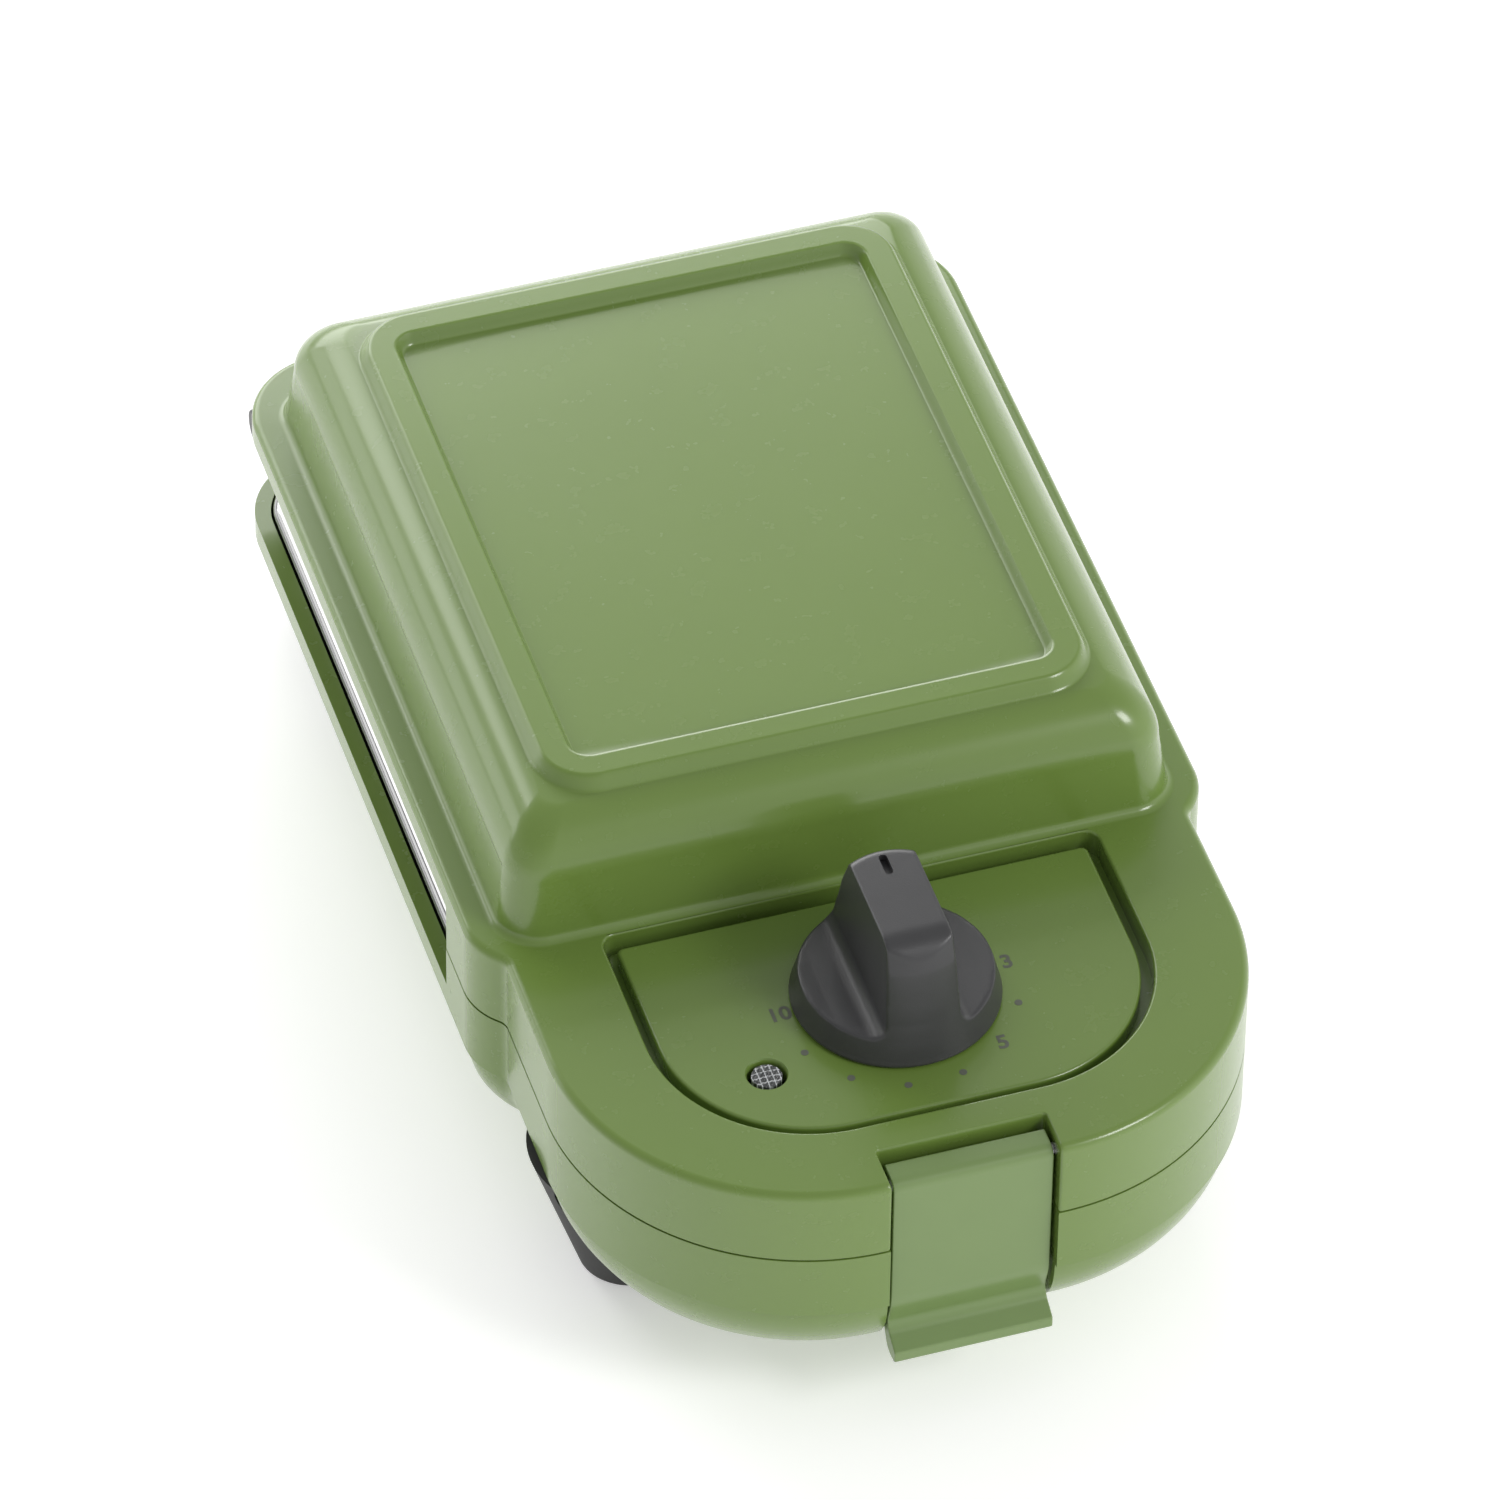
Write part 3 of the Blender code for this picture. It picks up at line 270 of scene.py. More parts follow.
def woven(name, colour):
    """Glass-fibre sleeve: two crossing sets of fine threads."""
    nodes = Nodes(name)
    threads = nodes.tree.nodes.new("ShaderNodeTexWave")
    threads.bands_direction = "DIAGONAL"
    threads.inputs["Scale"].default_value = 900
    threads.inputs["Distortion"].default_value = 1.5
    nodes.link(nodes.place, threads.inputs["Vector"])
    tint = nodes.ramp(threads.outputs["Fac"], ((0.2, shade(colour, 0.7)), (0.8, colour)))
    nodes.link(tint, nodes.shader.inputs["Base Color"])
    nodes.link(nodes.bump(threads.outputs["Fac"], 0.0001, 0.6), nodes.shader.inputs["Normal"])
    return nodes.finish(Roughness=0.8)


def clear_lens(name):
    """Clear plastic with a crossed grid of ridges: the pale ridge colour is a painted highlight, the dark colour
    between them painted shade of the lamp chamber.
    """
    nodes = Nodes(name)
    ridges = []
    for axis in ("X", "Y"):
        wave = nodes.tree.nodes.new("ShaderNodeTexWave")
        wave.bands_direction = axis
        wave.inputs["Scale"].default_value = 240
        nodes.link(nodes.place, wave.inputs["Vector"])
        ridges.append(wave.outputs["Fac"])
    grid = nodes.tree.nodes.new("ShaderNodeMath")
    grid.operation = "MAXIMUM"
    for i, ridge in enumerate(ridges):
        nodes.link(ridge, grid.inputs[i])
    # painted light: pale ridges are painted highlights, the near-black between them is painted shade of the lamp
    # chamber behind the lens
    tint = nodes.ramp(grid.outputs["Value"], ((0.90, (0.060, 0.064, 0.066)), (1.00, (0.74, 0.76, 0.78))))
    nodes.link(tint, nodes.shader.inputs["Base Color"])
    nodes.link(nodes.spread(nodes.noise(500, 2), 0.08, 0.16), nodes.shader.inputs["Roughness"])
    nodes.link(nodes.bump(grid.outputs["Value"], 0.00012, 0.8), nodes.shader.inputs["Normal"])
    return nodes.finish(Transmission_Weight=0.10, IOR=1.49, Coat_Weight=0.5, Coat_Roughness=0.05)


PAINT = (0.136, 0.218, 0.041)
MATERIALS = {
    "green_paint": moulded(
        "green_paint",
        PAINT,
        roughness=0.27,
        grain=420,
        depth=0,
        mottle=0.012,
        Coat_Weight=0.4,
        Coat_Roughness=0.13,
        Specular_IOR_Level=0.5,
    ),
    "green_plastic": moulded(
        "green_plastic",
        (0.158, 0.238, 0.078),
        roughness=0.33,
        grain=900,
        depth=0.0000015,
        mottle=0.03,
        Coat_Weight=0.25,
        Coat_Roughness=0.18,
    ),
    "black_plastic": moulded("black_plastic", (0.020, 0.020, 0.021), 0.40, 3600, 0.00002, 0.12),
    "knob_plastic": moulded("knob_plastic", (0.040, 0.040, 0.042), 0.34, 4200, 0.000035, 0.12),
    "gloss_black": moulded(
        "gloss_black",
        (0.012, 0.012, 0.013),
        roughness=0.14,
        grain=2000,
        depth=0.0000005,
        mottle=0.10,
        Coat_Weight=1.0,
        Coat_IOR=2.2,
        IOR=2.0,
    ),
    "rubber": moulded("rubber", (0.017, 0.017, 0.017), 0.62, 3000, 0.00002, 0.15),
    "phenolic": moulded("phenolic", (0.060, 0.045, 0.035), 0.50, 1800, 0.00002, 0.20),
    "marking": moulded("marking", (0.100, 0.110, 0.085), 0.60, 3000, 0.000006, 0.06),
    "non_stick": speckled("non_stick", (0.026, 0.026, 0.028), (0.120, 0.120, 0.125), 0.34),
    "aluminium": brushed("aluminium", (0.72, 0.72, 0.73), 0.34, 0),
    "steel": brushed("steel", (0.56, 0.56, 0.57), 0.28, 0),
    "brass": brushed("brass", (0.70, 0.52, 0.24), 0.30, 2),
    "wire_sleeve": woven("wire_sleeve", (0.80, 0.80, 0.76)),
    "lens": clear_lens("lens"),
}


# ---------------------------------------------------------------- outlines
def arc(cx, cy, radius, start, end, steps, radius_y=None):
    """Points on an arc, or on an arc of an ellipse, with its angles in degrees."""
    radius_y = radius if radius_y is None else radius_y
    angles = (math.radians(start + (end - start) * i / steps) for i in range(steps + 1))
    return [(cx + radius * math.cos(a), cy + radius_y * math.sin(a)) for a in angles]


def mirrored(half):
    """Closed outline from its right half, which runs from the front centre to the rear centre."""
    return half + [(-x, y) for x, y in reversed(half) if x > 1e-6]


def shoulder(inset):
    """S-curve from the handle's side out to the side beside the plates: a tight arc, then a wide one."""
    rise = SIDE_X - HANDLE_X
    run = SHOULDER_Y[1] - SHOULDER_Y[0]
    turn = 2 * math.atan(rise / run)
    outer_r = run / math.sin(turn) - SHOULDER_INNER_R
    true_inset = min(inset, 0.0030)
    degrees = math.degrees(turn)
    inner_r = SHOULDER_INNER_R + true_inset
    inner = arc(HANDLE_X + SHOULDER_INNER_R, SHOULDER_Y[0], inner_r, 180, 180 - degrees, 8)
    outer = arc(SIDE_X - outer_r, SHOULDER_Y[1], outer_r - true_inset, -degrees, 0, 12)
    return [(x - (inset - true_inset), y) for x, y in inner + outer[1:]]


def casing_outline(inset=0.0, notch=False):
    """Plan of the lid and the casing, moved inwards by inset, with or without the latch's notch."""
    half = [(0, FRONT_Y + inset)]
    if notch:
        side_inset = 0.3 * inset
        inner_r, mouth_r = NOTCH_R
        half = [(0, NOTCH_Y + side_inset)]
        half += arc(NOTCH_X - inner_r, NOTCH_Y - inner_r, inner_r + side_inset, 90, 0, 4)
        across = max(mouth_r - side_inset, 0.0001)
        half += arc(NOTCH_X + side_inset + across, FRONT_Y + inset + across, across, 180, 270, 4)
    half += arc(HANDLE_X - NOSE_R, NOSE_Y, NOSE_R - inset, -90, 0, 48)
    half += shoulder(inset)
    corner = max(REAR_R - inset, 0.002)
    half += arc(SIDE_X - inset - corner, REAR_Y - inset - corner, corner, 0, 90, 20)
    half.append((0, REAR_Y - inset))
    return mirrored(half)


def rounded_outline(half_x, y_range, front_r, rear_r=None, steps=16):
    """Rounded rectangle, symmetric about x = 0."""
    rear_r = front_r if rear_r is None else rear_r
    half = [(0, y_range[0])]
    half += arc(half_x - front_r, y_range[0] + front_r, front_r, -90, 0, steps)
    half += arc(half_x - rear_r, y_range[1] - rear_r, rear_r, 0, 90, steps)
    half.append((0, y_range[1]))
    return mirrored(half)


def recess_outline(inset=0.0):
    """D-shaped plan of the control panel's recess."""
    y_range = (RECESS_Y[0] + inset, RECESS_Y[1] - inset)
    rear_r = max(RECESS_R[1] - inset, 0.0012)
    return rounded_outline(RECESS_X - inset, y_range, RECESS_R[0] - inset, rear_r, 24)


def rounded_polygon(corners, steps=6):
    """Outline through (x, y, radius) corners, each one rounded by its radius."""
    outline = []
    for i, (x, y, radius) in enumerate(corners):
        here = Vector((x, y))
        before = (Vector(corners[i - 1][:2]) - here).normalized()
        after = (Vector(corners[(i + 1) % len(corners)][:2]) - here).normalized()
        half_angle = before.angle(after) / 2
        centre = here + (before + after).normalized() * radius / math.sin(half_angle)
        start = here + before * radius / math.tan(half_angle) - centre
        end = here + after * radius / math.tan(half_angle) - centre
        sweep = start.angle_signed(end)
        for step in range(steps + 1):
            turn = -sweep * step / steps
            point = centre + Matrix.Rotation(turn, 2) @ start
            outline.append((point.x, point.y))
    return outline


# ---------------------------------------------------------------- meshes
def add_object(name, bm, finish=None, sharp=35):
    """Object from a bmesh: a piece if it has a finish, else a tool that is used and thrown away."""
    bmesh.ops.recalc_face_normals(bm, faces=bm.faces)
    mesh = bpy.data.meshes.new(name)
    bm.to_mesh(mesh)
    bm.free()
    obj = bpy.data.objects.new(name, mesh)
    bpy.context.scene.collection.objects.link(obj)
    if finish:
        mesh.materials.append(MATERIALS[finish])
        mesh.shade_smooth()
        mesh.set_sharp_from_angle(angle=math.radians(sharp))
    return obj


def skin(bm, rings):
    """Walls through outlines at rising or falling levels. Returns the first and the last loop of vertices."""
    loops = [[bm.verts.new((x, y, z)) for x, y in outline] for outline, z in rings]
    count = len(loops[0])
    for low, high in zip(loops, loops[1:]):
        for i in range(count):
            j = (i + 1) % count
            bm.faces.new((low[i], low[j], high[j], high[i]))
    return loops[0], loops[-1]


def fill(bm, *loops):
    """Flat face inside the first loop and outside the others."""
    edges = []
    for loop in loops:
        for a, b in zip(loop, loop[1:] + loop[:1]):
            edges.append(bm.edges.get((a, b)) or bm.edges.new((a, b)))
    bmesh.ops.triangle_fill(bm, use_beauty=True, use_dissolve=False, edges=edges)


def loft(name, rings, finish=None, frame_matrix=None, sharp=35):
    bm = bmesh.new()
    first, last = skin(bm, rings)
    bm.faces.new(first[::-1])
    bm.faces.new(last)
    if frame_matrix:
        bm.transform(frame_matrix)
    return add_object(name, bm, finish, sharp)


def prism(name, outline, low, high, finish=None, frame_matrix=None):
    return loft(name, [(outline, low), (outline, high)], finish, frame_matrix)


def box(name, x, y, z, finish=None):
    outline = [(x[0], y[0]), (x[1], y[0]), (x[1], y[1]), (x[0], y[1])]
    return prism(name, outline, z[0], z[1], finish)


def rod(name, start, end, radius, finish=None, sides=48):
    start, end = Vector(start), Vector(end)
    along = end - start
    turn = along.to_track_quat("Z", "Y").to_matrix().to_4x4()
    bm = bmesh.new()
    bmesh.ops.create_cone(
        bm,
        cap_ends=True,
        segments=sides,
        radius1=radius,
        radius2=radius,
        depth=along.length,
        matrix=Matrix.Translation((start + end) / 2) @ turn,
    )
    return add_object(name, bm, finish)


def turned(name, profile, centre, finish=None, sides=64, sharp=35):
    """Solid of revolution about a vertical axis: profile holds (radius, z), from axis to axis."""
    bm = bmesh.new()
    points = [bm.verts.new((radius, 0, z)) for radius, z in profile]
    edges = [bm.edges.new(pair) for pair in zip(points, points[1:])]
    bmesh.ops.spin(
        bm, geom=points + edges, axis=(0, 0, 1), cent=(0, 0, 0), angle=math.tau, steps=sides, use_merge=True
    )
    bmesh.ops.remove_doubles(bm, verts=bm.verts, dist=1e-7)
    bmesh.ops.translate(bm, vec=centre, verts=bm.verts)
    return add_object(name, bm, finish, sharp)


def torus(name, centre, tube_r):
    bm = bmesh.new()
    points = [bm.verts.new((x, 0, z)) for x, z in arc(CAVITY_RING_R, 0, tube_r, 5, 365, 36)[:-1]]
    edges = [bm.edges.new(pair) for pair in zip(points, points[1:] + points[:1])]
    bmesh.ops.spin(
        bm, geom=points + edges, axis=(0, 0, 1), cent=(0, 0, 0), angle=math.tau, steps=64, use_merge=True
    )
    bmesh.ops.translate(bm, vec=centre, verts=bm.verts)
    return add_object(name, bm)


def baked(obj):
    """Applies the modifiers of obj to its mesh."""
    graph = bpy.context.evaluated_depsgraph_get()
    mesh = bpy.data.meshes.new_from_object(obj.evaluated_get(graph))
    obj.modifiers.clear()
    obj.data = mesh
    return obj


def combine(obj, operation, *tools):
    """Boolean of obj with each tool, applied; the tools are removed."""
    for tool in tools:
        modifier = obj.modifiers.new(tool.name, "BOOLEAN")
        modifier.operation = operation
        modifier.solver = "EXACT"
        modifier.object = tool
    baked(obj)
    for tool in tools:
        bpy.data.objects.remove(tool, do_unlink=True)
    return obj


def cut(obj, *tools):
    return combine(obj, "DIFFERENCE", *tools)


def add(obj, *tools):
    return combine(obj, "UNION", *tools)


def bevel(obj, width, segments=3, angle=50):
    modifier = obj.modifiers.new("rounded_edges", "BEVEL")
    modifier.width = width
    modifier.segments = segments
    modifier.limit_method = "ANGLE"
    modifier.angle_limit = math.radians(angle)
    modifier.miter_outer = "MITER_ARC"
    return baked(obj)


def round_edges(obj, width, wanted, angle=50, segments=3):
    """Rounds the sharp edges whose middle point satisfies wanted(point)."""
    bm = bmesh.new()
    bm.from_mesh(obj.data)
    edges = []
    for edge in bm.edges:
        if len(edge.link_faces) == 2 and edge.calc_face_angle(0) > math.radians(angle):
            if wanted((edge.verts[0].co + edge.verts[1].co) / 2):
                edges.append(edge)
    bmesh.ops.bevel(
        bm, geom=edges, offset=width, segments=segments, profile=0.5, affect="EDGES", clamp_overlap=True
    )
    bm.to_mesh(obj.data)
    bm.free()
    return obj


def smooth_shaded(obj, sharp=35):
    """Smooth shading that keeps flat faces flat up to their rounded edges."""
    obj.data.shade_smooth()
    obj.data.set_sharp_from_angle(angle=math.radians(sharp))
    modifier = obj.modifiers.new("flat_faces", "WEIGHTED_NORMAL")
    modifier.keep_sharp = True
    return obj


def stand_for(obj, body, slot, *nodes):
    """The finished piece rides on a body, in place of CAD nodes."""
    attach(obj, body)
    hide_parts(*nodes)
    return obj


def detail(obj, body, slot):
    """The finished piece rides on a body and adds to what the CAD shows."""
    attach(obj, body)
    return obj


# ---------------------------------------------------------------- lid
def dome_ring(inset, shrink=0.0):
    corner = DOME_CORNER_R - shrink - (inset if inset < 0 else 0.35 * inset)
    inset += shrink
    return rounded_outline(DOME_X - inset, (DOME_Y[0] + inset, DOME_Y[1] - inset), corner)


def dome_shoulder(end, shrink=0.0, steps=14):
    """Rings over the dome's rounded shoulder, up to the angle end."""
    radius = DOME_SHOULDER_R - shrink
    base_z = DOME_Z - DOME_SHOULDER_R
    rings = []
    for step in range(steps + 1):
        angle = end * step / steps
        ring = dome_ring(DOME_DRAFT + radius * (1 - math.cos(angle)), shrink)
        rings.append((ring, base_z + radius * math.sin(angle)))
    return rings


def smoothstep(t):
    t = min(max(t, 0), 1)
    return t * t * (3 - 2 * t)


def bead_rings(steps=30):
    """Rings over the raised bead round the dome's top."""
    rings = []
    for step in range(steps + 1):
        across = step / steps
        inset = BEAD_INSET + across * BEAD_WIDTH
        y_range = (DOME_Y[0] + inset, DOME_Y[1] - inset)
        low = DOME_Z - BEAD_STEP * (1 - smoothstep(across))
        rise = smoothstep(across / 0.27) * smoothstep((1 - across) / 0.19)
        corner = 0.0115 - 0.0085 * across
        rings.append((rounded_outline(DOME_X - inset, y_range, corner), low + rise * (BEAD_Z - low)))
    return rings


def quarter(radius, steps=6):
    """Steps of a quarter round: (inwards, up) from the vertical wall to the flat top."""
    for step in range(steps + 1):
        angle = math.pi / 2 * step / steps
        yield radius * (1 - math.cos(angle)), radius * math.sin(angle)


def lid_cover():
    bm = bmesh.new()
    rings = [(casing_outline(inward, True), LID_Z + GAP - up) for inward, up in list(quarter(GAP, 2))[::-1]]
    rings += [(casing_outline(inward, True), DECK_Z - EDGE_R + up) for inward, up in quarter(EDGE_R)]
    bottom, deck = skin(bm, rings)
    foot = [(dome_ring(up - DOME_FOOT_R), DECK_Z + inward) for inward, up in quarter(DOME_FOOT_R)]
    dome_foot, dome_top = skin(bm, foot + dome_shoulder(SHOULDER_END) + bead_rings())
    edge_z = DECK_Z - RECESS_EDGE_R
    edge = [(recess_outline(-inward), edge_z + up) for inward, up in quarter(RECESS_EDGE_R, 4)]
    recess_top, recess_floor = skin(bm, edge[::-1] + [(recess_outline(), RECESS_FLOOR_Z)])
    fill(bm, deck, dome_foot, recess_top)
    fill(bm, bottom)
    fill(bm, dome_top)
    fill(bm, recess_floor)
    cover = add_object("lid_shell", bm, "green_paint")
    hollow = prism("hollow", casing_outline(LID_WALL), 0.0400, DECK_Z - LID_WALL)
    well = prism("well", recess_outline(-0.0022), RECESS_FLOOR_Z - 0.0025, 0.0700)
    block_x = (-NOTCH_WALL_X, NOTCH_WALL_X)
    block = box("block", block_x, (AHEAD_Y, NOTCH_Y + 0.0022), (LID_Z - 0.001, 0.0700))
    cut(hollow, well, block)
    below = box("below", ACROSS, BEHIND_STEP, (0.0390, FLANGE_Z))
    inner_rings = [(dome_ring(0, LID_WALL), PARTING_Z), *dome_shoulder(math.pi / 2, LID_WALL, 6)]
    inside = loft("inside", inner_rings)
    opening = prism("opening", recess_outline(LEDGE_INSET), 0.0520, 0.0620)
    bore = rod("bore", *LATCH_BORE)
    cut(cover, below, hollow, inside, opening, bore)

    def at_step(point):
        outside = abs(point.x) > SIDE_X - 0.0005 or point.y > REAR_Y - 0.0180
        return point.z < FLANGE_Z + 0.0002 and outside and abs(point.y - STEP_Y) < 0.15

    round_edges(cover, 0.0004, at_step)
    smooth_shaded(cover)
    return stand_for(cover, "lid", "green_paint", "lid_cover")


def control_panel():
    low = PANEL_LOW[2]
    edge_z = PANEL_Z - PANEL_EDGE_R
    edge = [(recess_outline(PANEL_INSET + inward), edge_z + up) for inward, up in quarter(PANEL_EDGE_R)]
    panel = loft("control_panel_face", [(recess_outline(PANEL_INSET), low), *edge], "green_paint")
    chamfer = [(0, 0.0700), (LAMP_R + 0.0060, 0.0700), (LAMP_R + 0.0008, PANEL_Z + 0.0002)]
    chamfer += [(LAMP_R + 0.0004, PANEL_Z - 0.0003), (LAMP_R + 0.0003, PANEL_Z - 0.0010)]
    chamfer += [(LAMP_R + 0.0003, 0.0550), (0, 0.0550)]
    neck = rod("neck", (0, KNOB_Y, 0.0580), (0, KNOB_Y, 0.0680), 0.0046)
    cut(panel, turned("lamp_hole", chamfer, (*LAMP, 0)), neck)
    smooth_shaded(panel)
    return stand_for(panel, "lid", "green_paint", "control_panel")


def dial_marks():
    """Minute marks round the knob: three numerals, and dots for the minutes between them."""
    numerals = {3, 5, 10}
    level = PANEL_Z - 0.00002
    for number in range(1, 11):
        angle = math.radians(0.5 + MINUTE_DEGREES * number)
        x = KNOB_X + DIAL_R * math.sin(angle)
        y = DIAL_Y + DIAL_R * math.cos(angle)
        if number in numerals:
            font = bpy.data.curves.new(f"minute_{number}", "FONT")
            font.body = str(number)
            font.size = 0.0047
            font.extrude = 0.00003
            font.offset = 0.00012
            font.align_x = "CENTER"
            font.align_y = "CENTER"
            font.materials.append(MATERIALS["marking"])
            mark = bpy.data.objects.new(f"minute_mark_{number}", font)
            bpy.context.scene.collection.objects.link(mark)
            mark.location = (x, y, level + 0.00003)
        else:
            top = (x, y, level + 0.00006)
            mark = rod(f"minute_mark_{number}", (x, y, level), top, 0.00075, "marking", 24)
        detail(mark, "lid", "black_plastic")


def pilot_lamp():
    """Clear lens with a crossed grid of grooves, sunk in the panel."""
    bm = bmesh.new()
    pitch = 0.00085
    rings, sides = 30, 72
    top = PANEL_Z - 0.0004
    loops = []
    for i in range(1, rings + 1):
        radius = (LAMP_R - 0.0005) * i / rings
        loop = []
        for j in range(sides):
            angle = math.tau * j / sides
            x, y = radius * math.cos(angle), radius * math.sin(angle)
            ridge = abs(math.sin(math.pi * (x + y) / pitch)) * abs(math.sin(math.pi * (x - y) / pitch))
            dome = 0.0004 * (1 - (radius / LAMP_R) ** 2)
            loop.append(bm.verts.new((x, y, top - 0.0004 + dome + 0.00025 * ridge)))
        loops.append(loop)
    middle = bm.verts.new((0, 0, top))
    for j in range(sides):
        bm.faces.new((middle, loops[0][j], loops[0][(j + 1) % sides]))
    skirt = [bm.verts.new((v.co.x, v.co.y, LENS_LOW[2])) for v in loops[-1]]
    loops.append(skirt)
    for inner, outer in zip(loops, loops[1:]):
        for j in range(sides):
            k = (j + 1) % sides
            bm.faces.new((inner[j], outer[j], outer[k], inner[k]))
    bm.faces.new(skirt[::-1])
    bmesh.ops.translate(bm, vec=(*LAMP, 0), verts=bm.verts)
    lens = add_object("pilot_lens", bm, "lens", 60)
    return stand_for(lens, "lid", "lens", "pilot_lamp_lens")


def timer_knob():
    """Turned cone that leans forward, cut away to leave a grip; the remesh softens its moulded edges."""
    top = KNOB_HIGH[2]
    profile = [(0, top), (0.0118, top), (0.0126, top - 0.0003), (0.0132, top - 0.0011)]
    profile += [(0.0138, top - 0.0028), (0.0150, 0.0850), (0.0163, 0.0790), (0.0176, 0.0735)]
    profile.append((0.0186, 0.0700))
    profile += [(0.0193, 0.0672), (0.0198, 0.0652), (0.0200, KNOB_Z + 0.0006), (0.0198, KNOB_Z), (0, KNOB_Z)]
    knob = turned("knob_body", profile, (0, KNOB_Y, 0), "knob_plastic", 128)
    for vertex in knob.data.vertices:
        vertex.co.y -= KNOB_LEAN * max(vertex.co.z - 0.0700, 0)
    front = arc(-0.0097, top - GRIP_FRONT_R, GRIP_FRONT_R, 87, 170, 14)
    front += [(-0.0300, 0.0859), (-0.0300, 0.0990), (-0.0097, 0.0990)]
    sides = Matrix.Translation((0, KNOB_Y, 0)) @ SIDE_VIEW
    cut(knob, prism("grip_front", front, -0.03, 0.03, frame_matrix=sides))
    scoops = []
    for side in (-1, 1):
        corners = [(0.0060, 0.0990, 0.0001), (0.0074, 0.0700, 0.0030), (0.0150, 0.0704, 0.0060)]
        corners += [(0.0270, 0.0722, 0.0001), (0.0270, 0.0990, 0.0001)]
        outline = [(side * x, z) for x, z in rounded_polygon(corners, 8)]
        place = Matrix.Translation((0, KNOB_Y, 0)) @ FRONT_VIEW
        scoops.append(prism(f"scoop_{side + 1}", outline, -0.03, 0.03, frame_matrix=place))
    cut(knob, *scoops)
    remesh = knob.modifiers.new("even_mesh", "REMESH")
    remesh.mode = "VOXEL"
    remesh.voxel_size = 0.00032
    soften = knob.modifiers.new("soft_edges", "SMOOTH")
    soften.factor = 0.5
    soften.iterations = 7
    baked(knob)
    slot_y = (KNOB_Y + 0.0046, KNOB_Y + 0.0098)
    slot = prism("slot", rounded_outline(0.0008, slot_y, 0.00078, steps=6), top - 0.0016, 0.0960)
    bore = rod("bore", (0, KNOB_Y, 0.0600), (0, KNOB_Y, 0.0800), 0.0033)
    cut(knob, slot, bore)
    knob.data.materials.clear()
    knob.data.materials.append(MATERIALS["knob_plastic"])
    knob.data.shade_smooth()
    knob.data.set_sharp_from_angle(angle=math.radians(50))
    return stand_for(knob, "timer_knob", "black_plastic", "timer_knob")


def latch():
    front, back = -0.1230, -0.1170
    corners = [(back, 0.0575, 0.0003), (back, 0.0638, 0.0007), (front, 0.0638, 0.0021)]
    corners += [(front, 0.0315, 0.0150)]
    corners += [(-0.1208, 0.0240, 0.0030), (LATCH_LOW[1], 0.0212, 0.0005), (LATCH_LOW[1], 0.0185, 0.0008)]
    corners += [(-0.1215, 0.0178, 0.0030), (-0.1187, 0.0235, 0.0040), (-0.1199, 0.0302, 0.0004)]
    corners += [(-0.1164, 0.0302, 0.0003), (-0.1164, 0.0322, 0.0004), (-0.1173, 0.0336, 0.0004)]
    corners += [(-0.1199, 0.0336, 0.0006), (-0.1199, 0.0525, 0.0010)]
    piece = prism("latch_lever", rounded_polygon(corners), -LATCH_X, LATCH_X, "green_plastic", SIDE_VIEW)
    bevel(piece, 0.0004, 3, 60)
    pocket = rod("pocket", (-0.0040, *LATCH_PIN), (0.0040, *LATCH_PIN), 0.0023)
    mouth = box("mouth", (-0.0040, 0.0040), (LATCH_PIN[0], -0.1100), (0.0588, 0.0630))
    bore = rod("bore", *LATCH_BORE)
    cut(piece, bore, pocket, mouth)
    smooth_shaded(piece)
    return stand_for(piece, "latch", "green_plastic", "latch")


# ---------------------------------------------------------------- base
def belly_rings(inset, top_z, steps=14):
    """Rings of the casing from its flat floor, up the rounded belly and over the step, to top_z."""
    radius = BELLY_R - inset
    rings = []
    for step in range(steps + 1):
        angle = math.pi / 2 * (1 - step / steps)
        ring = casing_outline(BELLY_STEP + BELLY_R - radius * math.cos(angle))
        rings.append((ring, BAND_Z - radius * math.sin(angle)))
    for inward, up in quarter(BELLY_STEP, 4):
        rings.append((casing_outline(inset + max(BELLY_STEP - inward, 0)), BAND_Z + up / 3))
    return rings + [(casing_outline(inset), top_z)]


def base_casing():
    casing = loft("base_shell", belly_rings(0, PARTING_Z), "green_paint")
    cut(casing, box("beside_plates", ACROSS, BEHIND_STEP, (RIM_Z, 0.0600)))
    hollow = loft("hollow", belly_rings(CASE_WALL, 0.0600, 6))
    block_x = (-NOTCH_WALL_X, NOTCH_WALL_X)
    cut(hollow, box("block", block_x, (AHEAD_Y, NOTCH_Y + 0.0022), (0.0100, 0.0700)))
    notch = prism("notch", rounded_outline(NOTCH_X, (-0.1600, NOTCH_Y), NOTCH_R[0], steps=4), 0.0050, 0.0600)
    tools = [hollow, notch]
    for i in range(5):
        y = 0.0100 + 0.0140 * i
        vent = rounded_outline(0.0220, (y, y + 0.0030), 0.0014, steps=4)
        tools.append(prism(f"vent_{i}", vent, 0.0050, 0.0200))
    tools.append(rod("cord_hole", *CORD_HOLE))
    for i, (x, y) in enumerate(BASE_SCREWS):
        tools.append(rod(f"counterbore_{i}", (x, y, 0.0050), (x, y, 0.0150), 0.0033))
        tools.append(rod(f"screw_hole_{i}", (x, y, 0.0050), (x, y, 0.0200), 0.0017))
    cut(casing, *tools)

    def on_top(point):
        return point.z > 0.0160 and point.y < 0.1225

    round_edges(casing, 0.0003, on_top, 60, 2)
    add(casing, box("catch", (-0.0140, 0.0140), (-0.1178, NOTCH_Y + 0.0010), (0.0339, 0.0370)))
    smooth_shaded(casing)
    return stand_for(casing, "base", "green_paint", "base_casing")


